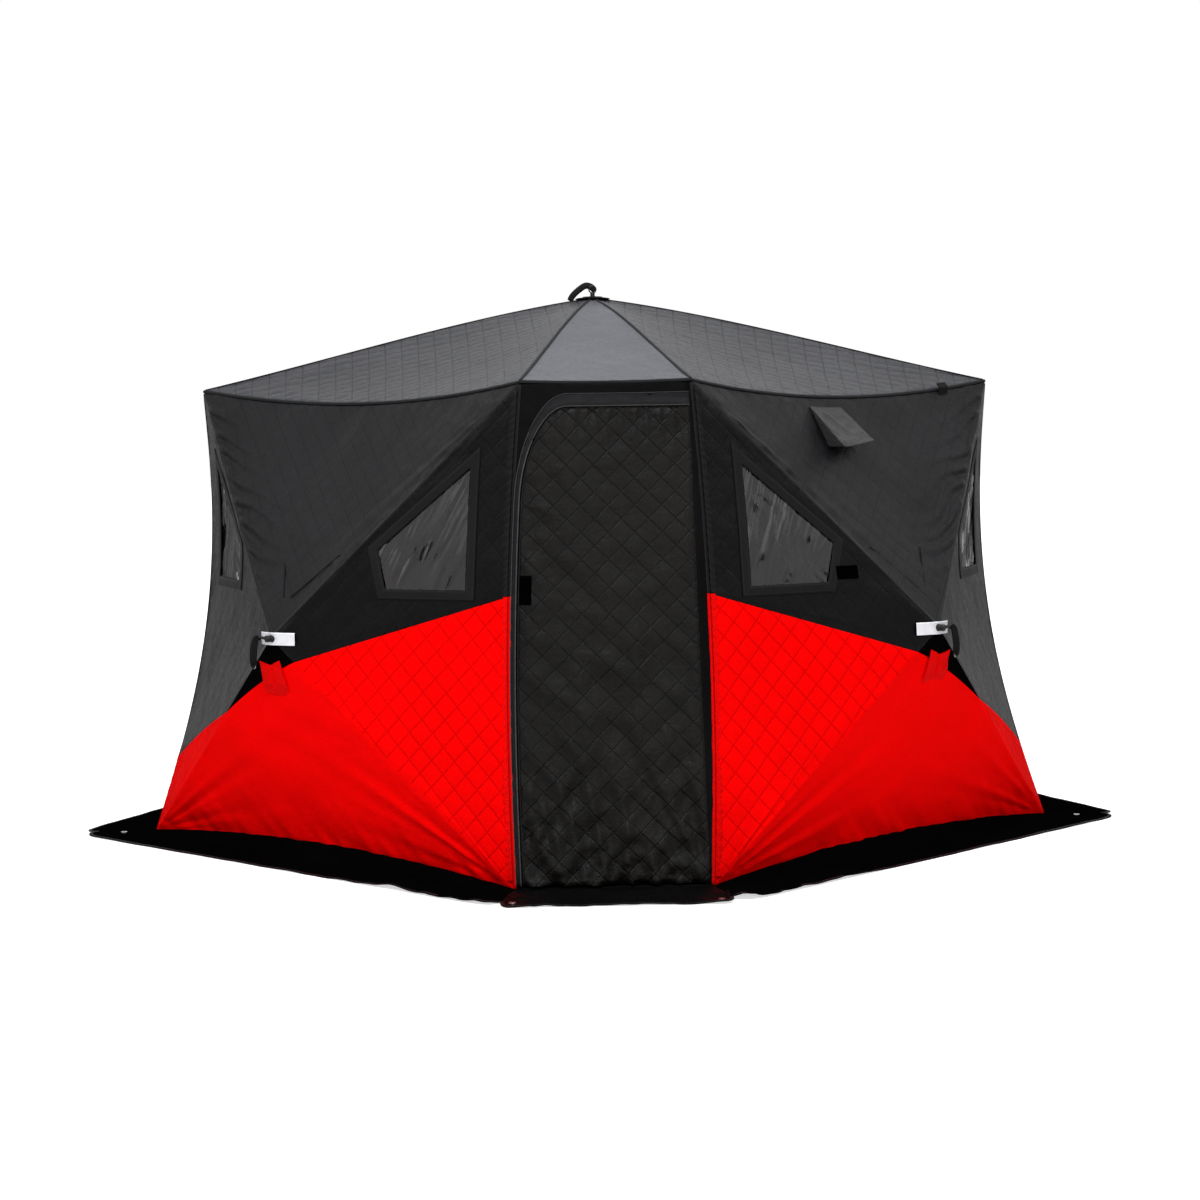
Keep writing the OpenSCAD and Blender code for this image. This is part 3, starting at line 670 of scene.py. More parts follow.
def wall_relief(k, facet, side, u, z):
    """Height of quilting and wrinkles in metres before the seams' fade."""
    seed = 100 * k + {TOP: 1, SIDE: 5, LOW: 9}[facet] + (side > 0)
    flat = cloth_uv(facet, np.stack([u, z], -1))
    stitched = 0.0007 if facet != LOW else 0.0
    relief = stitched * (quilt(flat[..., 0], flat[..., 1]) - 0.5)
    relief = relief + 0.0022 * waves(u, z, 0.42, seed) + 0.0010 * waves(u, z, 0.16, seed + 1)
    door_side = (k == 0 and side < 0) or (k == 4 and side > 0)
    if facet == TOP:
        slope = math.hypot(EAVE_U, EAVE_H - HUB_H)
        for s in (-1, 1):
            off = ((EAVE_H - HUB_H) * -s * u + EAVE_U * (z - HUB_H)) / slope
            near_door = (k, s) in ((0, -1), (4, 1))
            wobble = 0.35 * waves(u, z, 0.3, seed + 3)
            band = smooth(0, 0.02, off) * np.exp(-off / 0.085) * smooth(0.15, 0.35, z - HUB_H)
            if near_door:
                corner = (s * EAVE_U, EAVE_H)
                toward = math.atan2(HUB_H - EAVE_H, -s * EAVE_U)
                relief = relief + 0.0170 * fan(u, z, corner, toward + s * 0.14, 0.22, 40, 0.60, seed + 4)
                relief = relief + 0.0050 * band * crisp(
                np.sin(2 * math.pi * (z + 0.3 * s * u) / 0.11 + wobble))
            else:
                relief = relief + 0.0130 * band * crisp(
                np.sin(2 * math.pi * (z - 0.25 * s * u) / 0.070 + 5 * wobble))
        relief = relief + 0.0022 * np.sin(2 * math.pi * u / 0.083 + 2 * waves(u, z, 0.5, seed + 6)) \
            * np.exp(-(EAVE_H - z) / 0.05)
    if facet == SIDE:
        corner = (side * EAVE_U, EAVE_H)
        toward = math.atan2(HUB_H - EAVE_H, -side * EAVE_U)
        relief = relief + 0.0130 * fan(u, z, corner, toward - side * 0.16, 0.24, 38, 0.50, seed + 4)
        corner = (side * BASE_U, 0)
        toward = math.atan2(HUB_H, -side * BASE_U)
        strong = 0.0120 if door_side else 0.0080
        relief = relief + strong * fan(u, z, corner, toward + side * 0.12, 0.22, 38, 0.38, seed + 5)
        edge = np.exp(-(edge_u(z) - np.abs(u)) / 0.05)
        relief = relief + 0.0018 * edge * np.sin(2 * math.pi * z / 0.048 + 2 * waves(u, z, 0.25, seed + 7))
    if facet == LOW:
        for s in (-1, 1):
            corner = (s * BASE_U, 0)
            toward = math.atan2(HUB_H, -s * BASE_U)
            strong = 0.0110 if (k, s) in ((0, -1), (4, 1)) else 0.0080
            relief = relief + strong * fan(u, z, corner, toward + s * 0.30, 0.26, 30, 0.50, seed + 4 + s)
        hem = np.exp(-z / 0.10)
        relief = relief + 0.0065 * hem * waves(u + 0.8 * z, 0.25 * z, 0.10, seed + 8)
    return relief


def seam_fade(facet, u, z):
    """0 on the facet's seams and 1 a hand's width inside them."""
    slope_up = math.hypot(EAVE_U, EAVE_H - HUB_H)
    slope_low = math.hypot(BASE_U, HUB_H)
    off_up = np.abs((EAVE_H - HUB_H) * np.abs(u) - EAVE_U * (z - HUB_H)) / slope_up
    off_low = np.abs(HUB_H * np.abs(u) - BASE_U * (HUB_H - z)) / slope_low
    if facet == TOP:
        return smooth(0, 0.022, off_up) * smooth(0, 0.022, EAVE_H - z)
    if facet == LOW:
        return smooth(0, 0.022, off_low) * smooth(-0.004, 0.016, z)
    return smooth(0, 0.022, off_up) * smooth(0, 0.022, off_low) * smooth(0, 0.03, edge_u(z) - np.abs(u))


def line_fade(k, u, z):
    """Keeps a little relief out of the sewn colour line."""
    return 0.15 + 0.85 * smooth(0, 0.02, np.abs(z - line_z(k, u)))


def wall_patch(k, facet, side, flat, keep=None, slot=0, lift=0.0):
    """A grid on the wall with its relief, its cloth measures and its mask."""
    u, z = flat[..., 0], flat[..., 1]
    relief = wall_relief(k, facet, side, u, z) * seam_fade(facet, u, z) * line_fade(k, u, z)
    if facet == SIDE:
        ring = window_corners(0.0)
        low, high = ring[:, 0].min(), ring[:, 0].max()
        near = smooth(0.07, 0.0, np.abs(u) - high) * smooth(0.07, 0.0, low - np.abs(u))
        near = near * smooth(0.09, 0.0, z - (WINDOW_MID + (np.abs(u) - low) * 0.87)) * smooth(0.07, 0.0,
            WINDOW_LOW - z)
        relief = relief * (1 - 0.85 * near)
    points = on_wall(k, facet, flat, 0.0)
    points = points + place(wall_turn(k), 0 * u, relief + lift, 0 * z) - place(wall_turn(k), 0 * u,
        0 * u, 0 * z)
    return points, cloth_uv(facet, flat), keep, slot


# %% [markdown]
# The upper cloth of a wall is the top triangle, two side sheets with their
# window holes, and the small peak that dips below the hub. Four grids make it,
# and their shared edges are merged into one sewn cloth.

# %% Sew the upper walls


def upper_side(k, side):
    """Control points of a side sheet: five out from the hub, four upward."""
    kind = side_kind(k, side)
    inner_low, outer_low, outer_top, inner_top = window_corners(0.006)
    first, second, third = RADIAL[kind]
    ridge = [HUB, ridge_up(first), ridge_up(second), ridge_up(third), ridge_up(1)]
    shrink = first / second
    top = [HUB, HUB + (inner_top - HUB) * shrink, inner_top, outer_top, ray_to_edge(outer_top)]
    low_z = HIGH_Z + 0.05 if kind == HIGH else outer_low[1] + 0.02
    low = [HUB, HUB + (inner_low - HUB) * shrink, inner_low, outer_low, np.array([edge_u(low_z), low_z])]
    start = ridge_point(kind)
    end_z = HIGH_Z if kind == HIGH else FALL_Z
    ends = [start[0], max(inner_low[0], start[0] + 0.16), outer_low[0], edge_u(end_z)]
    line = line_z(k, np.array(ends) * side)
    hem = [HUB] + [np.array([a, b]) for a, b in zip(ends, line)]
    return np.array([hem, low, top, ridge]).swapaxes(0, 1)


def flip(flat, side):
    """Mirrors flat points to the other side of a wall when side is -1."""
    return flat * np.array([side, 1.0])


def upper_wall(k):
    """Wall k above the colour line: two half grids from the hub outward, cut at the windows."""
    patches = []
    for side in (1, -1):
        control = upper_side(k, side)
        gaps = [np.linalg.norm(control[3, j + 1] - control[3, j]) for j in range(3)]
        across = [max(3, int(math.ceil(g / PITCH_WALL))) for g in gaps]
        flat = lattice(control, radial_cells, across)
        rows = np.arange(flat.shape[1]) / across[0]
        pull = np.clip(1 - rows, 0, 1)[None, :]
        straight = flat[:, :1, 1]
        curved = line_z(k, flat[:, 0, 0] * side)[:, None]
        outer = (np.arange(flat.shape[0]) > radial_cells[0])[:, None]
        flat[..., 1] += np.where(outer, (curved - straight) * pull, 0)
        keep = np.ones((flat.shape[0] - 1, flat.shape[1] - 1), bool)
        a, b = radial_cells[0] + radial_cells[1], radial_cells[0] + radial_cells[1] + radial_cells[2]
        keep[a:b, across[0]:across[0] + across[1]] = False
        patches.append(wall_patch(k, SIDE, side, flip(flat, side), keep))
    ridges = [flip(upper_side(k, s)[:, 3], s) for s in (1, -1)]
    wide = steps((0, 0), (2 * EAVE_U, 0), PITCH_WALL * 1.1)
    flat = lattice(np.stack(ridges, 1), radial_cells, [wide])
    patches.append(wall_patch(k, TOP, 0, flat, None, 1))
    ends = [flip(ridge_point(side_kind(k, s)), s) for s in (1, -1)]
    peak = lattice(np.array([[HUB, HUB], ends]), [radial_cells[0]], [24])
    drop = line_z(k, peak[-1, :, 0]) - peak[-1, :, 1]
    peak[..., 1] += drop[None, :] * np.linspace(0, 1, radial_cells[0] + 1)[:, None]
    patches.append(wall_patch(k, LOW, 0, peak, None, 2))
    name = WALLS[k]
    # Slot 1 holds the top facets' copy lightened as painted light, slot 2 the low peak's copy darkened as
    # painted shade.
    piece = surface("upper_cloth_" + name, patches, "shelter", BLACK_QUILT, away,
        (BLACK_QUILT, TOP_QUILT_PAINTED_LIGHT, LOW_PEAK_PAINTED_SHADE))
    thicken(piece, 0.005)
    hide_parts("upper_wall_" + name)
    declare(piece)
    return piece


upper_cloths = [upper_wall(k) for k in range(5)]
print("upper cloths", [len(o.data.polygons) for o in upper_cloths])

# %% [markdown]
# The red lower cloth is a broad sheet below the hub with a triangle on each
# side that runs up the corner. The triangles narrow to the pegged corner, so
# their grids do as well, and the folds that fan out there get the finest
# cells.

# %% Sew the lower walls


def lower_wall(k):
    """Wall k below the colour line: side grids run from ridge to corner, a low grid joins them."""
    rows = steps((0, 0), (1.0, 0.79), PITCH_WALL * 1.1)
    patches = []
    for side in (1, -1):
        kind = side_kind(k, side)
        start, corner = ridge_point(kind), np.array([BASE_U, 0.0])
        end_z = HIGH_Z if kind == HIGH else FALL_Z
        end = np.array([edge_u(end_z), end_z])
        columns = steps(start, end, PITCH_WALL)
        flat = lattice(np.array([[start, end], [corner, corner]]), [rows], [columns])
        curved = line_z(k, flat[0, :, 0] * side) - flat[0, :, 1]
        flat[..., 1] += curved[None, :] * np.linspace(1, 0, rows + 1)[:, None]
        patches.append(wall_patch(k, SIDE, side, flip(flat, side)))
    tops = [flip(ridge_point(side_kind(k, s)), s) for s in (1, -1)]
    feet = [np.array([BASE_U, 0.0]), np.array([-BASE_U, 0.0])]
    wide = steps((0, 0), (1.7, 0), PITCH_WALL)
    flat = lattice(np.array([tops, feet]), [rows], [wide])
    curved = line_z(k, flat[0, :, 0]) - flat[0, :, 1]
    flat[..., 1] += curved[None, :] * np.linspace(1, 0, rows + 1)[:, None]
    patches.append(wall_patch(k, LOW, 0, flat, slot=1))
    name = WALLS[k]
    piece = surface("lower_cloth_" + name, patches, "shelter", RED_QUILT, away, (RED_QUILT, RED_PLAIN))
    thicken(piece, 0.005)
    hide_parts("lower_wall_" + name)
    declare(piece)
    return piece


lower_cloths = [lower_wall(k) for k in range(5)]
print("lower cloths", [len(o.data.polygons) for o in lower_cloths])

# %% [markdown]
# ## The roof
# The roof is one continuous cover over six sprung poles. The poles arch a
# little, most of all near the top. Between them the cover sags, and its lower
# edge follows the same drooping seam as the walls. The small panel over the
# door is cut from a smoother cloth.

# %% Sew the roof
RIDGE_ARCH = 0.021
PANEL_SAG = 0.014
ROOF_LIFT = 0.005


def roof_points(turn, n, u, drop, inward, across, down, seed, plain):
    """Point at share across (-1 to 1) and down (0 at the top, 1 at the eave)."""
    slack = 1 - across**2
    arch = RIDGE_ARCH * 6.75 * down * (1 - down) ** 2
    z = EAVE_H + ROOF_LIFT + (APEX_H - EAVE_H - ROOF_LIFT) * (1 - down) + arch
    z = z - drop * slack * down**1.6 - PANEL_SAG * slack * 4 * down * (1 - down)
    run_u, run_n = across * down * u, down * n
    slope = math.hypot(1, (APEX_H - EAVE_H) / n)
    flat = np.stack([run_u, run_n * slope], -1)
    fade = smooth(0, 0.03, (1 - np.abs(across)) * down * u) * smooth(0, 0.025, (1 - down) * n)
    relief = 0.0020 * waves(run_u, run_n, 0.36, seed) + 0.0008 * waves(run_u, run_n, 0.13, seed + 1)
    if not plain:
        relief = relief + 0.0024 * (quilt(flat[..., 0], flat[..., 1]) - 0.5)
    hem = np.exp(-(1 - down) * n / 0.09)
    relief = relief + 0.0030 * hem * np.sin(2 * math.pi * run_u / 0.075 + 2 * waves(run_u, run_n, 0.3,
        seed + 2))
    for side in (-1, 1):
        toward = math.atan2(-n * 0.6, -side * u)
        relief = relief + 0.0035 * fan(run_u, run_n, (side * u, n), toward, 0.5, 26, 0.30, seed + 4)
    points = place(turn, run_u, run_n - inward * slack * down**1.6, z + relief * fade)
    return points, flat


def roof_patch(turn, n, u, drop, inward, seed, slot):
    """One roof panel as a grid: rows from apex to eave, columns from edge to edge."""
    rows = steps((0, 0), (n, 0.4), 0.024)
    columns = steps((0, 0), (2 * u, 0), 0.024)
    down = np.linspace(0, 1, rows + 1)[:, None] + np.zeros((1, columns + 1))
    across = np.linspace(-1, 1, columns + 1)[None, :] + np.zeros((rows + 1, 1))
    points, flat = roof_points(turn, n, u, drop, inward, across, down, seed, slot == 1)
    return points, flat, None, slot


def above(points):
    """Straight up at every point."""
    return points * 0 + np.array([0, 0, 1.0])


roof_grids = [roof_patch(wall_turn(k), EAVE_N, EAVE_U, EAVE_DROP, EAVE_IN, 700 + k, 0) for k in range(5)]
roof_grids.append(roof_patch(0.0, DOOR_EAVE_N, DOOR_EAVE_U, 0.006, 0.004, 720, 1))
roof = surface("roof_cover", roof_grids, "shelter", ROOF_QUILT_PAINTED_SHEEN, above, (ROOF_QUILT_PAINTED_SHEEN, ROOF_PLAIN_PAINTED_SHEEN))
thicken(roof, 0.005)
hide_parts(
    "roof_front", "roof_right_front", "roof_right_rear", "roof_rear", "roof_left_rear",
    "roof_left_front")
declare(roof, (3.38, 3.20))
print("roof cells", len(roof.data.polygons))

# %% [markdown]
# ## Tapes and piping
# Sewn cloth is finished with tape. A tape is a narrow grid carried along a
# path: its cross direction is worked out from the path's own direction and the
# way it faces, and a small dome across its width catches the light.

# %% Tapes along a path


def unit(v):
    """Each vector divided by its length."""
    return v / np.maximum(np.linalg.norm(v, axis=-1, keepdims=True), 1e-9)


def tape_patch(path, out, width, dome=0.001, cells=4, lift=0.0, slide=0.0):
    """Strip along path (N, 3) that faces out (N, 3). Offsets across the width
    rise to the dome in the middle. Its cloth measures are length and width."""
    path, out = np.asarray(path, float), unit(np.asarray(out, float))
    ahead = unit(np.gradient(path, axis=0))
    cross = unit(np.cross(ahead, out))
    face = np.cross(cross, ahead)
    share = np.linspace(-1, 1, cells + 1)
    offset = share * width / 2 + slide
    rise = dome * (1 - share**2) + lift
    points = path[:, None] + cross[:, None] * offset[None, :, None] + face[:, None] * rise[None, :, None]
    run = np.append(0, np.cumsum(np.linalg.norm(np.diff(path, axis=0), axis=1)))
    uv = np.stack(np.broadcast_arrays(run[:, None], (share * width / 2)[None, :]), -1)
    return points, uv, None, 0


def tube_patch(path, radius, sides=10):
    """Round cord: a circle carried along a path, closed to a point at each end."""
    path = np.asarray(path, float)
    size = np.asarray(radius, float) * np.ones(len(path))
    ahead = unit(np.gradient(path, axis=0))
    helper = np.where(np.abs(ahead[:, 2:]) > 0.9, np.array([1.0, 0, 0]), np.array([0, 0, 1.0]))
    across = unit(np.cross(ahead, helper))
    up = np.cross(across, ahead)
    turn = np.append(np.linspace(0, 2 * math.pi, sides, endpoint=False), 0.0)
    ring = across[:, None] * np.cos(turn)[None, :, None] + up[:, None] * np.sin(turn)[None, :, None]
    path = np.concatenate([path[:1], path, path[-1:]])
    ring = np.concatenate([ring[:1], ring, ring[-1:]])
    size = np.concatenate([[0], size, [0]])
    points = path[:, None] + ring * size[:, None, None]
    run = np.append(0, np.cumsum(np.linalg.norm(np.diff(path, axis=0), axis=1)))
    uv = np.stack(np.broadcast_arrays(run[:, None], np.arange(sides + 1)[None, :] * 0.001), -1)
    return points, uv, None, 0


def curve(controls, count=24):
    """Smooth path through control points: a Catmull-Rom curve."""
    p = np.asarray(controls, float)
    p = np.concatenate([2 * p[:1] - p[1:2], p, 2 * p[-1:] - p[-2:-1]])
    at = np.linspace(0, len(p) - 3 - 1e-9, count)
    i, t = at.astype(int), (at % 1)[:, None]
    a, b, c, d = p[i], p[i + 1], p[i + 2], p[i + 3]
    return 0.5 * (2 * b + (c - a) * t + (2 * a - 5 * b + 4 * c - d) * t**2 + (3 * b - a - 3 * c + d) * t**3)


def around_middle(points):
    """Direction from a piece's middle to each of its points."""
    return points - points.mean((0, 1))


def trimming(name, tone, rough=0.6, edge=0.004, width=0.016, thread_and_groove_shade=(0.02, 0.02, 0.02)):
    """Woven tape: ribs across it, lint, and a row of stitches by each edge."""
    r = Recipe(name)
    vector, u, v = r.uv()
    rib = r.math("SINE", r.math("MULTIPLY", u, 2 * math.pi / 0.0022))
    height = r.math("MULTIPLY", rib, 0.00012)
    near = r.math("ABSOLUTE", r.math("SUBTRACT", r.math("ABSOLUTE", v), width / 2 - edge))
    dash = r.math("GREATER_THAN", r.math("SINE", r.math("MULTIPLY", u, 2 * math.pi / 0.005)), -0.3)
    row = r.math("MULTIPLY", r.remap(near, 0.0004, 0.0010, 1.0, 0.0), dash)
    height = r.math("SUBTRACT", height, r.math("MULTIPLY", row, 0.0006))
    fuzz = r.noise(vector, 160.0, 3.0)
    height = r.math("ADD", height, r.math("MULTIPLY", fuzz, 0.0006))
    dark, light = [c * 0.7 for c in tone], [c * 1.3 for c in tone]
    shade = r.mix(r.remap(fuzz, 0.3, 0.7, 0.0, 1.0), (*dark, 1), (*light, 1))
    r.link(Base_Color=r.mix(row, shade, (*thread_and_groove_shade, 1)), Normal=r.bump(height, 1.0))
    r.link(Roughness=r.remap(fuzz, 0.3, 0.7, rough - 0.08, rough + 0.08))
    r.set(Specular_IOR_Level=0.06 if tone[0] < 0.1 else 0.01)
    return r.material


BLACK_TAPE = trimming("black binding tape", (0.006, 0.006, 0.0065))
# The piping is coloured much lighter than the black cloth round it: a painted highlight on the flap's
# raised rims.
PIPING_PAINTED_HIGHLIGHT = trimming("piping lightened as painted highlight", (0.050, 0.048, 0.048), 0.4, 0.0015, 0.004)
RED_TAPE = trimming("red binding tape", (0.60, 0.002, 0.002), 0.6, 0.004, 0.016, (0.35, 0.002, 0.002))
WEBBING = trimming("black webbing", (0.004, 0.004, 0.0045), 0.5, 0.004, 0.025)


def wall_out(k, count):
    """Wall k's outward direction, tipped up a little, once for each of count points."""
    turn = wall_turn(k)
    return np.tile([math.sin(turn), -math.cos(turn), 0.1], (count, 1))


def corner_path(i, low, high, inside=0.0, count=70):
    """Points up corner seam i (0 right of the door, round to 5), or up a line
    inside the wall beside it, and the way out."""
    z = np.linspace(low, high, count)
    k, side = (i, -1) if i < 5 else (4, 1)
    flat = np.stack([side * (edge_u(z) - inside), z], -1)[:, None]
    points = on_wall(k, SIDE, flat)[:, 0]
    if inside:
        return points, wall_out(k, count)
    turn = DOOR_A + 2 * HALF * i
    return points, np.tile([math.sin(turn), -math.cos(turn), 0.1], (count, 1))


corner_split = {i: (HIGH_Z if i in (0, 2, 3, 5) else FALL_Z) for i in range(6)}
patches = [tape_patch(*corner_path(i, corner_split[i], EAVE_H - 0.01), 0.014, 0.0020) for i in range(6)]
binding_black = surface("corner_binding_black", patches, "shelter", BLACK_TAPE, away)
thicken(binding_black, 0.0014)
declare(binding_black, width=0.014)
patches = [tape_patch(*corner_path(i, 0.006, corner_split[i]), 0.014, 0.0020) for i in range(6)]
binding_red = surface("corner_binding_red", patches, "shelter", RED_TAPE, away)
thicken(binding_red, 0.0014)
declare(binding_red, width=0.014)

# %% [markdown]
# Beside the door the wall's edge is doubled over and stitched down twice, to
# carry the pull of the zip. It is a flat band an inch wide, red below and
# black above, with small puckers that the thread leaves.

# %% Edge bands beside the door
BAND_W = 0.030
BAND_BLACK = trimming("black edge band", (0.0052, 0.0050, 0.0052), 0.5, 0.005, BAND_W,
    (0.016, 0.016, 0.016))
BAND_RED = trimming("red edge band", (0.68, 0.002, 0.0015), 0.6, 0.005, BAND_W, (0.42, 0.001, 0.001))


def edge_band(name, low, high, finish):
    """Band beside each door corner: a tape puckered by a sine along its run."""
    patches = []
    for i in (0, 5):
        path, out = corner_path(i, low, high, 0.005 + BAND_W / 2, 130)
        points, uv, keep, part = tape_patch(path, out, BAND_W, 0.0006, 6, 0.0030)
        run, across = uv[..., 0], uv[..., 1]
        pucker = 0.0016 * np.sin(2 * math.pi * run / 0.031 + 3 * waves(run, across, 0.3, 40 + i))
        turn = wall_turn(0 if i == 0 else 4)
        points = points + pucker[..., None] * np.array([math.sin(turn), -math.cos(turn), 0])
        patches.append((points, uv, keep, part))
    piece = surface(name, patches, "shelter", finish, away)
    thicken(piece, 0.0022)
    declare(piece, width=BAND_W)
    return piece


edge_band("edge_band_black", HIGH_Z, EAVE_H - 0.03, BAND_BLACK)
edge_band("edge_band_red", 0.03, HIGH_Z - 0.002, BAND_RED)

# %% [markdown]
# The roof's ridges and its eave seam are bound with the same tape. The eave
# tape follows the drooping seam exactly, because it asks the roof's own
# formula for its path.

# %% Bind the roof


def roof_side(i):
    """Turn, distance, half width, droop and pull-in of panel i (5 is the door's)."""
    if i == 5:
        return 0.0, DOOR_EAVE_N, DOOR_EAVE_U, 0.006, 0.004
    return wall_turn(i), EAVE_N, EAVE_U, EAVE_DROP, EAVE_IN


def roof_path(i, count=60):
    """Points down roof ridge i, from near the apex to the eave."""
    down = np.linspace(0.02, 0.995, count)[:, None]
    turn, n, u, drop, inward = roof_side(min(i, 4))
    across = np.full_like(down, -1.0 if i < 5 else 1.0)
    points, _ = roof_points(turn, n, u, drop, inward, across, down, 1, True)
    return points[:, 0], np.tile([0, 0, 1.0], (count, 1))


def eave_path(i, count=90):
    """Points along eave i from corner to corner, 3 mm under the roof's edge."""
    across = np.linspace(-1, 1, count)[:, None]
    turn, n, u, drop, inward = roof_side(i)
    points, _ = roof_points(turn, n, u, drop, inward, across, np.ones_like(across), 1, True)
    out = np.tile([math.sin(turn), -math.cos(turn), 0.75], (count, 1))
    return points[:, 0] - np.array([0, 0, 0.003]), out


patches = [tape_patch(*roof_path(i), 0.013, 0.0020, lift=0.0006) for i in range(6)]
patches += [tape_patch(*eave_path(i), 0.014, 0.0022, lift=0.0004) for i in range(6)]
roof_binding = surface("roof_binding", patches, "shelter", BLACK_TAPE, away)
thicken(roof_binding, 0.0014)
declare(roof_binding, width=0.0135)

# %% [markdown]
# ## Windows
# A window is a sheet of clear vinyl sewn behind a cloth border. The vinyl is
# stored folded, so it keeps soft diagonal ripples that break up whatever it
# reflects. It is a closed film eight tenths of a millimetre thick, so light
# bends the same way in and out.

# %% Vinyl and borders


def vinyl():
    """Clear sheet with a grey base colour that dims what shows through, painted shade for the dark inside;
    near smooth, with slanting streaks from noise stretched along the slant.
    """
    r = Recipe("clear vinyl")
    vector, u, v = r.uv()
    cloud = r.noise(vector, 9.0, 3.0)
    # The grey base colour dims all that shows through the film: painted shade for the dark inside of the
    # hut.
    r.set(Base_Color=(0.26, 0.26, 0.27, 1), Transmission_Weight=1.0, IOR=1.5)
    r.link(Roughness=r.remap(cloud, 0.3, 0.7, 0.02, 0.08))
    slant = r.math("ADD", u, r.math("MULTIPLY", v, -0.45))
    streak = r.add("ShaderNodeCombineXYZ")
    r.join(r.math("MULTIPLY", slant, 23.0), streak.inputs[0])
    r.join(r.math("MULTIPLY", v, 2.6), streak.inputs[1])
    height = r.math("MULTIPLY", r.noise(streak.outputs[0], 1.0, 1.0, 0.4), 0.0056)
    r.link(Normal=r.bump(height, 1.0))
    return r.material


VINYL = vinyl()
BORDER_W = 0.036
BORDER = trimming("window border cloth", (0.0058, 0.0058, 0.0062), 0.5, 0.006, BORDER_W)


def push_out(k, points, amount):
    """Moves points on wall k straight out by an amount each."""
    turn = wall_turn(k)
    return points + amount[..., None] * np.array([math.sin(turn), -math.cos(turn), 0])


def window_film(k):
    """Wall k's pair of films: ripples are a sine across the slant plus waves, none at the rim."""
    patches = []
    for side in (1, -1):
        low_in, low_out, top_out, top_in = window_corners(0.010)
        cells = 38
        flat = flip(lattice(np.array([[low_in, top_in], [low_out, top_out]]), [cells], [cells]), side)
        u, z = flat[..., 0], flat[..., 1]
        fade = np.sin(np.linspace(0, math.pi, cells + 1))
        fade = np.minimum(fade[:, None], fade[None, :]) ** 0.5
        seed = 900 + 10 * k + side
        slant = u * side - 0.45 * z
        patchy = np.clip(0.35 + 0.9 * waves(u, z, 0.40, seed + 5), 0.1, 1)
        ripple = 0.0028 * patchy * np.sin(2 * math.pi * slant / 0.055 + 3.5 * waves(u, z, 0.30, seed))
        ripple = ripple + 0.0035 * waves(u, z, 0.16, seed + 2)
        patches.append((push_out(k, on_wall(k, SIDE, flat), ripple * fade - 0.0035), flat, None, 0))
    name = WALLS[k]
    piece = surface("window_film_" + name, patches, "shelter", VINYL, away)
    thicken(piece, 0.0008)
    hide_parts("windows_" + name)
    declare(piece, (0.80, 0.92))
    return piece


def window_border(k):
    """Sewn border of wall k's windows: four strips a window, from inner to outer outline."""
    patches = []
    for side in (1, -1):
        inner, outer = window_corners(-0.002), window_corners(BORDER_W)
        for a in range(4):
            b = (a + 1) % 4
            count = steps(outer[a], outer[b], 0.015)
            flat = lattice(np.array([[inner[a], outer[a]], [inner[b], outer[b]]]), [count], [4])
            points, _, keep, slot = wall_patch(k, SIDE, side, flip(flat, side), lift=0.0032)
            run = math.dist(outer[a], outer[b]) * np.linspace(0, 1, count + 1)
            across = np.linspace(-1, 1, 5) * BORDER_W / 2
            uv = np.stack(np.broadcast_arrays(run[:, None], across[None, :]), -1)
            patches.append((points, uv, keep, slot))
    piece = surface("window_border_" + WALLS[k], patches, "shelter", BORDER, away)
    thicken(piece, 0.0028)
    declare(piece, width=BORDER_W)
    return piece


window_films = [window_film(k) for k in range(5)]
window_borders = [window_border(k) for k in range(5)]
print("window cells", sum(len(o.data.polygons) for o in window_films + window_borders))

# %% [markdown]
# ## The door
# The door is a narrow leaf of the same quilted cloth. Its right edge is sewn
# to the frame and acts as the hinge. Its left edge and rounded top close with
# a zip, which a storm flap hides. The leaf is only held round its edge, so it
# shows more creases than the walls: level folds beside the zip, upright
# wrinkles low down and a crumpled hem.

# %% Measures of the door
LEAF_TOP = EAVE_H - 0.095
LEAF_HEM = 0.015
ROUND_W, ROUND_H = 0.150, 0.340
ROUND_LOW = LEAF_TOP - ROUND_H
JAMB_W, GAP, FLAP_W = 0.022, 0.005, 0.048
LEAN = math.cos(math.atan((DOOR_BASE_N - DOOR_EAVE_N) / EAVE_H))


def door_edge(z):
    """Half width of the door panel at height z, straight from the ground's to the eave's."""
    return DOOR_BASE_U + (DOOR_EAVE_U - DOOR_BASE_U) * z / EAVE_H


def corner_x(z):
    """The door panel's straight edge plus its outward bow at height z."""
    return door_edge(z) + DOOR_BOW * bow(np.clip(z / EAVE_H, 0, 1))


HINGE_IN = 0.0103


def hinge_x(z):
    """Where the leaf's hinge seam lies at height z, just inside the panel's edge."""
    return door_edge(z) - HINGE_IN


def on_door(flat, lift=0.0, leaf=False):
    """Carries (x, z) on to the door panel: its leaning plane, set back beside
    the bowed corner seams. The leaf itself stays flat beside its hinge."""
    x, z = flat[..., 0], flat[..., 1]
    bend = 0.012 * bow(np.clip(z / EAVE_H, 0, 1))
    left = np.clip(-x / corner_x(z), 0, 1) ** 3
    right = np.clip((x - hinge_x(z)) / (corner_x(z) - hinge_x(z) + 1e-6), 0, 1) * (not leaf)
    n = DOOR_BASE_N + (DOOR_EAVE_N - DOOR_BASE_N) * z / EAVE_H
    hang = 0.006 * np.clip(1 - (x / door_edge(z)) ** 2, 0, 1) * smooth(EAVE_H - 0.08, EAVE_H, z)
    return place(0.0, x, n + lift - bend * np.maximum(left, right), z - hang)


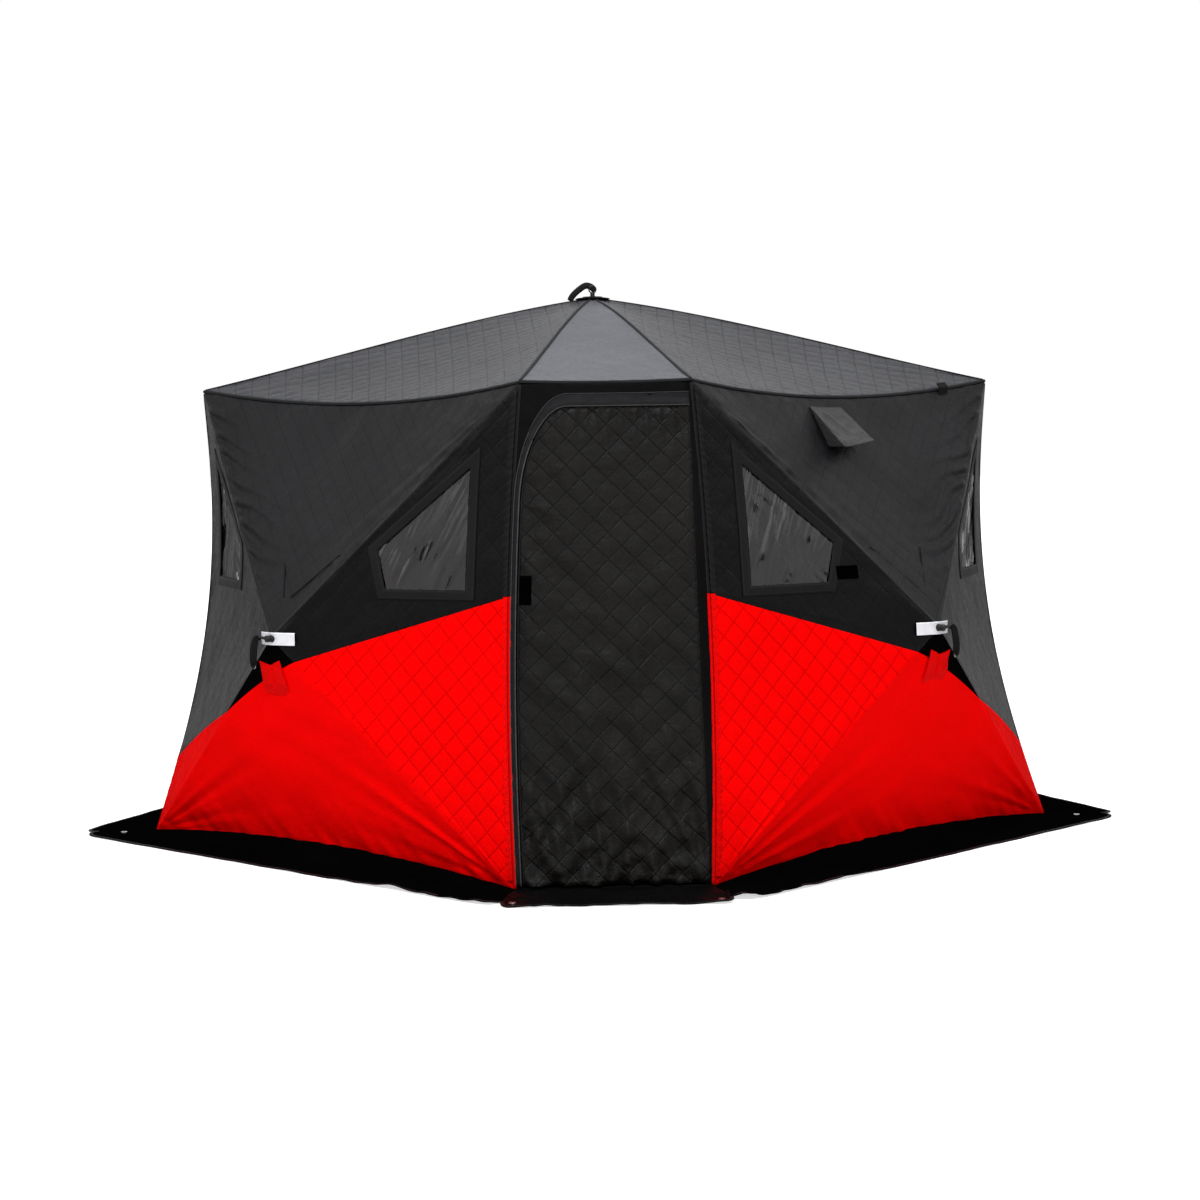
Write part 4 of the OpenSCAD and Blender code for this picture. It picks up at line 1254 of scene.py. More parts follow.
def opening(s, out_u=0.0, out_h=0.0):
    """The zip line, grown by out_u to the side and out_h upward: s from 0 to 1
    runs up the straight part and from 1 to 2 round the quarter ellipse."""
    turn = np.clip(s - 1, 0, 1) * math.pi / 2
    z = np.where(s < 1, LEAF_HEM + (ROUND_LOW - LEAF_HEM) * s, ROUND_LOW + (ROUND_H + out_h) * np.sin(turn))
    x = -corner_x(z) + JAMB_W + GAP - out_u + (ROUND_W + out_u) * (1 - np.cos(turn))
    return np.stack([x, z], -1)


def ruled(first, second, cells):
    """Flat grid between two lines of the same number of points."""
    share = np.linspace(0, 1, cells + 1)[None, :, None]
    return first[:, None] * (1 - share) + second[:, None] * share


def door_uv(flat):
    """Flat cloth coordinates: heights are stretched by the panel's lean."""
    return flat * np.array([1.0, 1 / LEAN])


# %% The leaf's folds


def leaf_relief(flat, far):
    """Sum of the quilting, level folds beside the zip, a fan from the low
    corner, upright wrinkles low down, and puckers under the top edge."""
    x, z = flat[..., 0], flat[..., 1]
    uv = door_uv(flat)
    left = opening(np.array([0.5]))[0, 0]
    relief = 0.0013 * (quilt(uv[..., 0], uv[..., 1]) - 0.5)
    relief = relief + 0.0045 * waves(x, 0.6 * z, 0.36, 301) + 0.0016 * waves(x, z, 0.13, 302)
    for height, lean, size, reach in (
            (1.494, 0.10, 0.0055, 0.20), (1.386, -0.22, 0.0045, 0.24), (1.232, 0.16, 0.0060, 0.22),
            (1.092, -0.12, 0.0055, 0.26), (0.93, 0.25, 0.0040, 0.20), (0.74, 0.35, 0.0045, 0.30)):
        run = x - left
        off = z - height - lean * run - 0.010 * waves(x, z, 0.2, int(height * 1000))
        ridge = np.exp(-((off / 0.010) ** 2)) - 0.7 * np.exp(-(((off + 0.018) / 0.014) ** 2))
        relief = relief + size * ridge * smooth(0, 0.03, run) * np.exp(-run / reach)
    low = 1 - smooth(0.10, 0.75, z)
    sharp = 1 - np.abs(waves(x + 0.25 * z, 0.30 * z, 0.17, 303))
    relief = relief + 0.0240 * low * (np.clip(sharp, 0, 1) ** 1.6 - 0.5)
    cross = 1 - np.abs(waves(x - 0.7 * z, 0.5 * z, 0.12, 304))
    relief = relief + 0.0150 * low * (np.clip(cross, 0, 1) ** 1.6 - 0.5)
    middle = smooth(0.35, 0.8, z) * smooth(1.5, 1.1, z)
    relief = relief + 0.0030 * middle * (1 - 2 * np.abs(waves(x + 0.4 * z, 0.8 * z, 0.26, 309)))
    relief = relief + 0.0100 * fan(x, z, (hinge_x(0), 0.0), math.radians(118), 0.35, 22, 0.55, 305)
    relief = relief + 0.0100 * fan(x, z, (-door_edge(0), 0.0), math.radians(62), 0.35, 20, 0.50, 306)
    hem = np.exp(-z / 0.07)
    relief = relief + 0.0150 * hem * (1 - np.abs(waves(x, 1.4 * z, 0.085, 307)))
    relief = relief + 0.0055 * np.exp(-(LEAF_TOP - z) / 0.07) * np.sin(
        2 * math.pi * x / 0.046 + waves(x, z, 0.2, 308))
    relief = np.minimum(relief, 0.003 + 0.13 * np.maximum(hinge_x(z) - x, 0))
    return relief * smooth(0, 0.03, far)


def sew_leaf():
    """Rows follow the zip line on the left and the hinge on the right."""
    s = np.concatenate([np.linspace(0, 1, 82), 1 + np.linspace(0, 1, 34)[1:]])
    left = opening(s)
    right = np.stack([hinge_x(left[:, 1]), left[:, 1]], -1)
    flat = ruled(left, right, 48)
    reach = np.minimum(flat[..., 0] - left[:, None, 0], right[:, None, 0] - flat[..., 0])
    far = np.minimum(reach, LEAF_TOP - flat[..., 1] + 0.004)
    relief = leaf_relief(flat, far)
    points = on_door(flat, relief, True)
    piece = surface("door_cloth", [(points, door_uv(flat), None, 0)], "door", DOOR_QUILT, away)
    thicken(piece, 0.005)
    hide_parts("door_leaf")
    declare(piece)
    return piece


def sew_frame():
    """The cloth round the opening: a strip beside the zip, the corner over the
    round, the header and the strip that the hinge seam is sewn to."""
    patches = []

    def add(first, second, cells, amount=0.0012):
        """Adds one guard strip between two lines, with small waves that fade at its ends."""
        flat = ruled(first, second, cells)
        x, z = flat[..., 0], flat[..., 1]
        fade = np.sin(np.linspace(0, math.pi, cells + 1))[None, :]
        patches.append((on_door(flat, amount * fade * waves(x, z, 0.07, 330)), door_uv(flat), None, 0))

    s = np.linspace(0, 1, 70)
    inner = opening(s, GAP)
    inner[0, 1] = 0.0015
    add(inner, np.stack([-corner_x(inner[:, 1]), inner[:, 1]], -1), 3)
    turn = 1 + np.linspace(0, 1, 31)
    inner = opening(turn, GAP, GAP)
    rise = np.linspace(ROUND_LOW, EAVE_H, 21)
    over = np.linspace(-DOOR_EAVE_U, inner[-1, 0], 11)[1:]
    outer = np.concatenate([np.stack([-corner_x(rise), rise], -1), np.stack([over, over * 0 + EAVE_H], -1)])
    add(inner, outer, 8, 0.0020)
    over = np.linspace(inner[-1, 0], hinge_x(LEAF_TOP + GAP), 24)
    low = np.stack([over, over * 0 + LEAF_TOP + GAP], -1)
    high = np.stack([np.linspace(inner[-1, 0], hinge_x(EAVE_H), 24), over * 0 + EAVE_H], -1)
    add(low, high, 8, 0.0020)
    z = np.linspace(0.0015, LEAF_TOP + GAP, 90)
    add(np.stack([hinge_x(z) + 0.0003, z], -1), np.stack([corner_x(z), z], -1), 4)
    z = np.linspace(LEAF_TOP + GAP, EAVE_H, 9)
    add(np.stack([hinge_x(z), z], -1), np.stack([corner_x(z), z], -1), 4)
    piece = surface("door_frame_cloth", patches, "shelter", PLAIN_BLACK, away)
    thicken(piece, 0.005)
    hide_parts("door_surround")
    declare(piece)
    return piece


def sew_flap():
    """Band over the zip: outer line sewn down, inner edge standing a finger
    proud with a rolled rim, and a slow wave along its length."""
    s = np.concatenate([np.linspace(0, 1, 100), 1 + np.linspace(0, 1, 40)[1:]])
    inner, outer = opening(s, GAP, GAP), opening(s, GAP + JAMB_W - 0.004, GAP + FLAP_W)
    run = np.linspace(0, 1, 26)[1:]
    end = hinge_x(LEAF_TOP + GAP)
    low = np.stack([inner[-1, 0] + (end - inner[-1, 0]) * run, run * 0 + inner[-1, 1]], -1)
    high = np.stack([outer[-1, 0] + (end - 0.002 - outer[-1, 0]) * run, run * 0 + outer[-1, 1]], -1)
    inner, outer = np.concatenate([inner, low]), np.concatenate([outer, high])
    flat = ruled(outer, inner, 8)
    share = np.linspace(0, 1, 9)[None, :]
    x, z = flat[..., 0], flat[..., 1]
    lift = 0.0015 + 0.0100 * share**1.6 - 0.0035 * smooth(0.86, 1.0, share)
    lift = lift + share * 0.0022 * waves(0.4 * x, z, 0.16, 340) + 0.0009 * waves(x, z, 0.05, 341)
    length = np.append(0, np.cumsum(np.linalg.norm(np.diff(outer, axis=0), axis=1)))
    uv = np.stack(np.broadcast_arrays(length[:, None], (share - 0.5) * 0.03), -1)
    band = trimming("storm flap cloth", (0.0062, 0.0062, 0.0067), 0.45, 0.004, 0.03)
    piece = surface("storm_flap_cloth", [(on_door(flat, lift), uv, None, 0)], "shelter", band, away)
    thicken(piece, 0.0022)
    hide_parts("storm_flap")
    declare(piece, width=0.035)
    rims = []
    for row, size, stand in ((-1, 0.0025, 0.0005), (0, 0.0015, 0.0012)):
        path = on_door(flat[:, row], lift[:, row] + stand)
        rims.append(tube_patch(path, size, 6))
    # Both rims take the lightened piping finish: a painted highlight along the flap's edges.
    piping = surface("storm_flap_piping", rims, "shelter", PIPING_PAINTED_HIGHLIGHT, around_middle)
    return piece




def sew_guard():
    """Draught strip inside: it overlaps the leaf's edge from behind along the
    zip and the top, and stands up as a sill behind the hem."""
    patches = []
    s = np.concatenate([np.linspace(0, 1, 70), 1 + np.linspace(0, 1, 24)[1:]])
    outer, inner = opening(s, GAP + 0.012, GAP + 0.012), opening(s, -0.022, -0.022)
    end = np.linspace(0, 1, 22)[1:, None]
    reach = np.array([hinge_x(LEAF_TOP) - 0.012, 0])
    for line in (outer, inner):
        line[0, 1] = 0.004
    outer = np.concatenate([outer, outer[-1:] * (1 - end) + (outer[-1:] * [0, 1] + reach) * end])
    inner = np.concatenate([inner, inner[-1:] * (1 - end) + (inner[-1:] * [0, 1] + reach) * end])
    flat = ruled(outer, inner, 3)
    patches.append((on_door(flat, 0 * flat[..., 0] - 0.0165, True), door_uv(flat), None, 0))
    x = np.linspace(-door_edge(0) + 0.014, hinge_x(0) + 0.004, 40)
    flat = ruled(np.stack([x, 0 * x + 0.004], -1), np.stack([x, 0 * x + 0.075], -1), 4)
    patches.append((on_door(flat, 0 * flat[..., 0] - 0.030, True), door_uv(flat), None, 0))
    n = np.linspace(DOOR_BASE_N - 0.050, DOOR_BASE_N + 0.004, 5)[None, :]
    points = place(0.0, x[:, None] + 0 * n, n + 0 * x[:, None], 0.0035)
    patches.append((points, np.stack(np.broadcast_arrays(x[:, None], n), -1), None, 0))
    piece = surface("door_draught_strip", patches, "shelter", PLAIN_BLACK, away)
    thicken(piece, 0.0025)
    declare(piece, width=0.05)
    return piece


door_cloth = sew_leaf()
sew_frame()
sew_flap()
sew_guard()
print("door cells", len(door_cloth.data.polygons))

# %% [markdown]
# A patch of hook-and-loop tape on the leaf keeps it rolled back when it is
# open, and a coil zip runs along the leaf's free edge.

# %% Fittings of the door


def fleece(name, tone):
    """Loop pile: dense small noise in height and tone."""
    r = Recipe(name)
    vector = r.uv()[0]
    pile = r.noise(vector, 900.0, 3.0, 0.7)
    dark, light = [c * 0.6 for c in tone], [c * 1.5 for c in tone]
    r.link(Base_Color=r.mix(pile, (*dark, 1), (*light, 1)))
    r.link(Normal=r.bump(r.math("MULTIPLY", pile, 0.0012), 1.0))
    r.link(Roughness=r.remap(pile, 0.3, 0.7, 0.85, 1.0))
    r.set(Specular_IOR_Level=0.0)
    return r.material


PILE = fleece("hook and loop pile", (0.0005, 0.0005, 0.0005))
TAB_LOW, TAB_HIGH, TAB_WIDE = 1.020, 1.125, 0.048
z = np.linspace(TAB_LOW, TAB_HIGH, 14)
left = opening((z - LEAF_HEM) / (ROUND_LOW - LEAF_HEM)) + np.array([0.003, 0])
flat = ruled(left, left + np.array([TAB_WIDE, 0]), 8)
points = on_door(flat, leaf_relief(flat, flat[..., 0] - left[:, None, 0]) + 0.0028, True)
leaf_tab = surface("door_tab", [(points, door_uv(flat), None, 0)], "door", PILE, away)
thicken(leaf_tab, 0.0024)
declare(leaf_tab)

s = np.linspace(0.004, 1.96, 300)
zip_line = opening(s) + np.array([0.0045, -0.001])
zip_path = on_door(zip_line, 0.0016, True)
ZIP_PLASTIC = trimming("zip coil", (0.010, 0.010, 0.011), 0.35, 0.002, 0.007)
zip_coil = surface("door_zip", [tube_patch(zip_path, 0.0026, 6)], "door", ZIP_PLASTIC, around_middle)
print("door fittings", leaf_tab.name, zip_coil.name)

# %% [markdown]
# ## The skirt
# A loose band of plain cloth is sewn to the hem and lies on the ice, where
# snow is banked on it. From the lifted hem it drops to the ground and then
# lies in shallow ruffles. It is pegged at its eyelets and lies flat there. All
# six sides are one cloth, because neighbours take their ruffles from the same
# waves of the ground plan.

# %% Lay the skirt
# The skirt's colour is darker than the walls' black: painted shade for the cloth on the ground; the stretch
# by the door gets a less darkened, glossier copy.
SKIRT_PAINTED_SHADE = cloth("skirt polyester", (0.0006, 0.0006, 0.0006), (0.0018, 0.0018, 0.0019), 0.62, 0.0, 0.0, 0, 1.5)
SKIRT_FRONT = cloth("skirt polyester by the door", (0.0008, 0.0008, 0.0008), (0.0026, 0.0026, 0.0027),
    0.42, 0.0, 0.012, 0, 4.0)
SKIRT_R = SKIRT_N / math.cos(HALF)
SKIRT_LIE = 0.0034
eyelets = [np.array(m["pos_m"]) for m in frame["record"]["mounts"] if m["name"].startswith("anchor")]


def skirt_patch(turn, base_n, base_u, out_n, out_u, hem_rise, low_at_hem):
    """From the tucked hem out to the free edge. Height is the hem's arch that
    dies away within a hand's width, plus ruffles that grow outward."""
    wide = steps((0, 0), (2 * out_u, 0), 0.019)
    a = np.linspace(-1, 1, wide + 1)[:, None] + np.zeros((1, 25))
    d = (np.linspace(0, 1, 25) ** 1.15)[None, :] + np.zeros((wide + 1, 1))
    arch = hem_rise * (1 - a**2)
    d_shown = d * (1 - 0.27 * np.abs(a) ** (26 if hem_rise else 40))
    u = a * (base_u + (out_u - base_u) * d_shown)
    run = d_shown * (out_n - base_n)
    n = base_n + run + 0.16 * arch * (1 - smooth(0, 0.06, run)) - 0.004 * (1 - smooth(0, 0.01, run))
    flat = place(turn, u, n, 0 * u)
    x, y = flat[..., 0], flat[..., 1]
    broad = 0.5 + 0.5 * waves(x, y, 0.30, 411, 9)
    small = 0.5 + 0.5 * waves(x, y, 0.12, 412, 9)
    creases = (1 - np.abs(waves(x, y, 0.22, 413, 9))) ** 2
    loose = 0.28 + 0.72 * smooth(0.62, 0.40, np.abs(np.arctan2(x, CENTRE.y - y)))
    swell = loose * smooth(0.0, 0.10, run) * (0.45 + 0.55 * smooth(0.05, 0.20, run))
    swell = swell * (1 - (1.00 - 0.28 * loose) * smooth(0.22, 0.33, run))
    ruffle = swell * (0.020 * np.clip(broad, 0, 1.3) + 0.007 * np.clip(small, 0, 1.3) + 0.006 * creases)
    for at in eyelets:
        ruffle = ruffle * smooth(0.018, 0.085, np.hypot(x - at[0], y - at[1]))
    drop = (arch + 0.012 * (1 - low_at_hem) * (1 - a**2)) * (1 - smooth(-0.01, 0.075 + 0.4 * hem_rise, run))
    z = SKIRT_LIE + drop + ruffle
    if low_at_hem:
        z = np.minimum(z, 0.0080 + 0.085 * run)
    points = np.stack([x, y, z], -1)
    return points, np.stack([u, run + drop], -1), None, low_at_hem


patches = [
    skirt_patch(wall_turn(k), BASE_N - 0.002, BASE_U, SKIRT_N, SKIRT_R * math.sin(HALF), HEM_RISE, 0)
    for k in range(5)]
patches.append(skirt_patch(
    0.0, DOOR_BASE_N - 0.002, DOOR_BASE_U, DOOR_SKIRT_N, SKIRT_R * math.sin(DOOR_A), 0.0, 1))
skirt = surface("skirt_cloth", patches, "shelter", SKIRT_PAINTED_SHADE, above, (SKIRT_PAINTED_SHADE, SKIRT_FRONT))
thicken(skirt, 0.0026)
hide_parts("wall_skirts", "door_skirt")
declare(skirt, (13.6, 0.33))

# %% [markdown]
# A hem tape is sewn along the free edge of the skirt.

# %% Hem of the skirt
edges = [(p[:, -1] - np.array([0, 0, 0.0]), wall_turn(k) if k < 5 else 0.0) for k,
    (p, *_) in enumerate(patches)]
hem_patches = []
for path, turn in edges:
    inward = -np.array([math.sin(turn), -math.cos(turn), 0])
    hem_patches.append(tape_patch(path + inward * 0.010 + [0, 0, 0.0009],
        np.tile([0, 0, 1.0], (len(path), 1)), 0.014, 0.0006))
skirt_hem = surface("skirt_hem", hem_patches, "shelter", BLACK_TAPE, above)
thicken(skirt_hem, 0.0012)
declare(skirt_hem, width=0.014)

# %% [markdown]
# ## Hub fittings
# Every wall has the same set at its hub: a reflective strip, a loop of webbing
# held by a toggle, which is pulled to pop the wall out, and a folded red tab
# that covers the end of the sewn seam. The sets are mirrored, so that each
# loop hangs on the side away from the door.

# %% Finishes for the fittings


def reflective():
    """Silver cloth with glass beads: near white, fine glitter and faint ribs."""
    r = Recipe("reflective silver cloth")
    vector = r.uv()[0]
    bead = r.noise(vector, 1400.0, 1.0, 0.5)
    cloud = r.noise(vector, 30.0, 3.0, 0.5)
    r.link(Base_Color=r.mix(cloud, (0.60, 0.60, 0.62, 1), (0.82, 0.82, 0.84, 1)))
    r.link(Roughness=r.remap(bead, 0.3, 0.7, 0.28, 0.50))
    height = r.math("ADD", r.math("MULTIPLY", bead, 0.0002), r.math("MULTIPLY", cloud, 0.0016))
    r.link(Normal=r.bump(height, 1.0))
    r.set(Metallic=0.35, Specular_IOR_Level=0.6)
    return r.material


def moulded(name, tone, rough, metal=0.0):
    """Moulded or cast surface: fine grain, slow tone drift and small scuffs."""
    r = Recipe(name)
    where = r.place()
    grain = r.noise(where, 900.0, 2.0)
    drift = r.noise(where, 24.0, 4.0, 0.6)
    dark, light = [c * 0.75 for c in tone], [c * 1.2 for c in tone]
    r.link(Base_Color=r.mix(drift, (*dark, 1), (*light, 1)))
    r.link(Roughness=r.remap(drift, 0.3, 0.7, rough - 0.08, rough + 0.12))
    r.link(Normal=r.bump(r.math("MULTIPLY", grain, 0.00025), 1.0))
    r.set(Metallic=metal, Specular_IOR_Level=0.5 if metal else 0.2)
    return r.material


def wound_rod():
    """Fibreglass rod: thin resin-rich lines wound round a dark satin core."""
    r = Recipe("wound fibreglass")
    where = r.place()
    split = r.add("ShaderNodeSeparateXYZ")
    r.join(where, split.inputs[0])
    line = r.math("SINE", r.math("MULTIPLY", split.outputs[2], 2 * math.pi / 0.006))
    strand = r.noise(where, 260.0, 3.0)
    height = r.math("ADD", r.math("MULTIPLY", line, 0.00008), r.math("MULTIPLY", strand, 0.0003))
    r.link(Base_Color=r.mix(strand, (0.010, 0.010, 0.011, 1), (0.045, 0.045, 0.05, 1)))
    r.link(Roughness=r.remap(strand, 0.3, 0.7, 0.25, 0.45), Normal=r.bump(height, 1.0))
    r.set(Coat_Weight=0.4, Coat_Roughness=0.15)
    return r.material


REFLECT = reflective()
PLASTIC = moulded("black nylon", (0.005, 0.005, 0.005), 0.42)
STEEL = moulded("bright steel", (0.30, 0.29, 0.28), 0.26, 1.0)
DARK_STEEL = moulded("dark steel", (0.030, 0.030, 0.034), 0.34, 1.0)
BRASS = moulded("nickelled eyelet", (0.70, 0.69, 0.66), 0.26, 1.0)
ROD = wound_rod()
TAB_RED = cloth("red tab cloth", (0.60, 0.0006, 0.0006), (0.74, 0.0008, 0.0008), 0.60, 0.0, 0.015, 0, 1.4)
MIRROR = {0: -1, 1: -1, 2: 1, 3: 1, 4: 1}

# %% Sew the fittings on


def at_hub(k, u, z, lift):
    """Point beside hub k: lift metres out of a plane through the hub's tip."""
    turn = wall_turn(k)
    return place(turn, MIRROR[k] * u, HUB_N + lift, HUB_H + z)


def strip_piece(k):
    """Flat strip with a welted rim, bent a little over the hub."""
    flat = lattice(np.array([[[-0.058, -0.024], [-0.058, 0.024]], [[0.112, -0.024], [0.112, 0.024]]]),
        [34], [10])
    flat[..., 1] += 0.0
    u, z = flat[..., 0], flat[..., 1]
    off = np.minimum(np.minimum(u + 0.058, 0.112 - u), 0.024 - np.abs(z))
    lift = 0.0060 + 0.0012 * np.exp(-off / 0.003) - 0.18 * np.clip(np.abs(u) - 0.02, 0, 1) - 1.2 * u**2
    lift = lift + 0.0012 * waves(u, z, 0.07, 600 + k)
    points = at_hub(k, u, z, lift)
    piece = surface("reflective_strip_" + WALLS[k], [(points, flat, None, 0)], "shelter", REFLECT, away)
    thicken(piece, 0.0018)
    declare(piece)
    return piece


def loop_piece(k):
    """Webbing from the toggle over the strip's end, then down in a loop of two
    layers. Each layer is a tape whose path is a smooth curve."""
    front = curve([
        (0.012, 0.001, 0.014), (-0.020, 0.003, 0.018), (-0.054, 0.006, 0.020), (-0.066, -0.012, 0.022),
        (-0.070, -0.048, 0.026), (-0.076, -0.086, 0.024), (-0.082, -0.106, 0.016)], 34)
    back = curve([
        (-0.050, 0.004, 0.012), (-0.076, -0.006, 0.010), (-0.094, -0.036, 0.010), (-0.100, -0.074, 0.010),
        (-0.096, -0.103, 0.010), (-0.084, -0.110, 0.014)], 30)
    narrow = np.interp(np.linspace(0, 1, 34), [0, 0.30, 0.46, 1], [0.0052, 0.0052, 0.0125, 0.0135])
    patches = []
    turn = wall_turn(k)
    doorward = MIRROR[k] * np.array([math.cos(turn), math.sin(turn), 0])
    for path, width in ((front, narrow), (back, np.full(30, 0.0105))):
        points, uv, keep, slot = tape_patch(
            at_hub(k, path[:, 0], path[:, 1], path[:, 2]), wall_out(k,
                len(path)) + 0.9 * doorward, 2.0, 0.0)
        centre = at_hub(k, path[:, 0], path[:, 1], path[:, 2])[:, None]
        points = centre + (points - centre) * width[:, None, None]
        share = np.linspace(-1, 1, 5)[None, :]
        points = push_out(k, points, 0.0012 * (1 - share**2) + 0 * points[..., 0])
        uv = np.stack([uv[..., 0], uv[..., 1] * 0.0125], -1)
        patches.append((points, uv, keep, slot))
    piece = surface("pull_loop_" + WALLS[k], patches, "shelter", WEBBING, away)
    thicken(piece, 0.0022)
    declare(piece, width=0.018)
    return piece


def turned(k, u, z, low, profile, sides=28):
    """Solid of revolution on the hub's axis: profile rows are radius, height."""
    rows = np.asarray(profile, float)
    turn = np.append(np.linspace(0, 2 * math.pi, sides, endpoint=False), 0.0)
    across = u + rows[:, :1] * np.cos(turn)
    up = z + rows[:, :1] * np.sin(turn)
    points = at_hub(k, across, up, low + rows[:, 1:] + 0 * across)
    uv = np.stack(np.broadcast_arrays(rows[:, 1:], turn[None, :] * 0.01), -1)
    return points, uv, None, 0


TOGGLE = [(0, 0.026), (0.006, 0.0255), (0.0105, 0.023), (0.0125, 0.0195), (0.0115, 0.0165),
    (0.0075, 0.0145),
          (0.0062, 0.0105), (0.0070, 0.006), (0.0130, 0.004), (0.0150, 0.001), (0.0150, -0.004), (0,
              -0.004)]


def toggle_piece(k):
    """Turned toggle with its cord as a tube, and the small steel ring that holds it."""
    patches = [turned(k, 0.014, 0.001, 0.004, TOGGLE)]
    cord = curve(
        [(0.013, 0.001, 0.014), (0.0, 0.005, 0.021), (-0.016, 0.002, 0.022), (-0.034, 0.005, 0.021),
         (-0.050, 0.009, 0.016)], 26)
    patches.append(tube_patch(at_hub(k, cord[:, 0], cord[:, 1], cord[:, 2]), 0.0046, 10))
    piece = surface("toggle_" + WALLS[k], patches, "shelter", PLASTIC, around_middle)
    ring = np.linspace(0, 2 * math.pi, 30)
    path = at_hub(k, -0.089 + 0.009 * np.cos(ring), -0.112 + 0.0075 * np.sin(ring),
        0.008 + 0.003 * np.cos(ring))
    link = surface("loop_ring_" + WALLS[k], [tube_patch(path, 0.0017, 8)], "shelter", STEEL, around_middle)
    return piece


def red_tab(k):
    """Folded tab on the low facet: a notch in its top edge and one deep crease."""
    mirror = MIRROR[k]
    control = np.array([[[-0.089, 0.652], [-0.089, 0.783]], [[-0.028, 0.640], [-0.030, 0.768]],
                        [[0.034, 0.652], [0.034, 0.790]]])
    flat = lattice(control, [12, 12], [26])
    share = (flat[..., 0] + 0.0275) / 0.0615
    flat[..., 0] += 0.010 * share * smooth(0.76, 0.66, flat[..., 1])
    u, z = flat[..., 0] * mirror, flat[..., 1]
    crease = np.exp(-(((flat[..., 0] + 0.026 + 0.12 * (0.72 - z)) / 0.005) ** 2))
    rise = 0.0100 * smooth(0.645, 0.70, z) - 0.0095 * crease * smooth(0.66, 0.70, z)
    rise = rise + 0.0012 * waves(u, z, 0.05, 640 + k)
    points = push_out(k, on_wall(k, LOW, np.stack([u, z], -1)), rise + 0.0008)
    piece = surface("red_tab_" + WALLS[k], [(points, flat, None, 0)], "shelter", TAB_RED, away)
    thicken(piece, 0.0030)
    declare(piece)
    return piece


strips = [strip_piece(k) for k in range(5)]
loops = [loop_piece(k) for k in range(5)]
for k in range(5):
    toggle_piece(k)
tabs = [red_tab(k) for k in range(5)]
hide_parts("reflective_strips")
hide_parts("pull_straps")
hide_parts("hub_tabs")

# %% [markdown]
# Above each hub a stiffer patch is let into the wall. Only its two seams show,
# which open upward from the hub like a V.

# %% Seams of the hub patches


def seam_line(k, facet, a, b, count=26):
    """Straight run from a to b on one facet, with the wall's outward direction."""
    share = np.linspace(0, 1, count)[:, None]
    flat = np.array(a) * (1 - share) + np.array(b) * share
    flat = flat * np.array([MIRROR[k], 1])
    return on_wall(k, facet, flat[:, None])[:, 0], wall_out(k, count)


patches = []
for k in range(5):
    for a, b in (((-0.010, 1.035), (-0.085, 1.19)), ((0.030, 1.035), (0.235, 1.20))):
        patches.append(tape_patch(*seam_line(k, TOP, a, b), 0.007, 0.0016, 2, 0.0012))
hub_seams = surface("hub_patch_seams", patches, "shelter", BLACK_TAPE, away)
thicken(hub_seams, 0.0012)
declare(hub_seams, width=0.01)

# %% [markdown]
# ## The vent
# Moist air leaves through a hole high in one front wall. A hood of stiffened
# cloth keeps snow out: it is sewn to the wall along its top and stands open at
# the bottom, with a wide stitched hem round the mouth.

# %% Sew the vent hood
HOOD = cloth("hood polyester", (0.0100, 0.0100, 0.0104), (0.0240, 0.0236, 0.0244), 0.42, 0.0, 0.20, 0, 1.6)
HOOD_TOP, HOOD_LOW = EAVE_H - 0.043, EAVE_H - 0.205
HOOD_LEFT, HOOD_RIGHT, HOOD_OUT = -0.225, -0.028, 0.095


def vent_patch():
    """Across a: up one cheek, over the cover and down the other cheek. Down b:
    from nothing at the top seam to the open mouth."""
    a = np.linspace(0, 1, 49)[:, None] + np.zeros((1, 31))
    b = np.linspace(0, 1, 31)[None, :] + np.zeros((49, 1))
    rise = np.minimum(np.clip(a / 0.22, 0, 1), np.clip((1 - a) / 0.22, 0, 1))
    over = np.clip((a - 0.20) / 0.60, 0, 1)
    u = HOOD_LEFT + (HOOD_RIGHT - HOOD_LEFT) * over
    z = HOOD_TOP + (HOOD_LOW + 0.030 * (over - 0.35) - HOOD_TOP) * b
    dent = 0.011 * np.sin(math.pi * over) * np.sin(math.pi * np.clip(b, 0, 1))
    fold = 0.0105 * np.exp(-(((over - 0.22 - 0.45 * b) / 0.07) ** 2)) * smooth(0.02, 0.2,
        b) * smooth(0.8, 0.6, b)
    rim = 0.0030 * smooth(0.80, 0.82, b)
    out = HOOD_OUT * b**0.92 * rise**0.8 - (dent - fold) * (rise > 0.99) + rim * (rise > 0.99)
    out = out + 0.0025 * waves(u, z, 0.05, 650) * (rise > 0.99) * smooth(0, 0.2, b)
    points = push_out(0, on_wall(0, TOP, np.stack([u, z], -1)), out + 0.0015)
    uv = np.stack([a * 0.39, b * 0.19], -1)
    return points, uv, None, 0


hood = surface("vent_hood_cloth", [vent_patch()], "shelter", HOOD, away)
thicken(hood, 0.0030)
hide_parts("vent_hood")
declare(hood)

# %% [markdown]
# A small ribbon on the eave marks where a guy line may be tied, and a short
# strip of loop pile beside a window holds its blind. Four walls have them: the
# wall to the left of the door has neither.

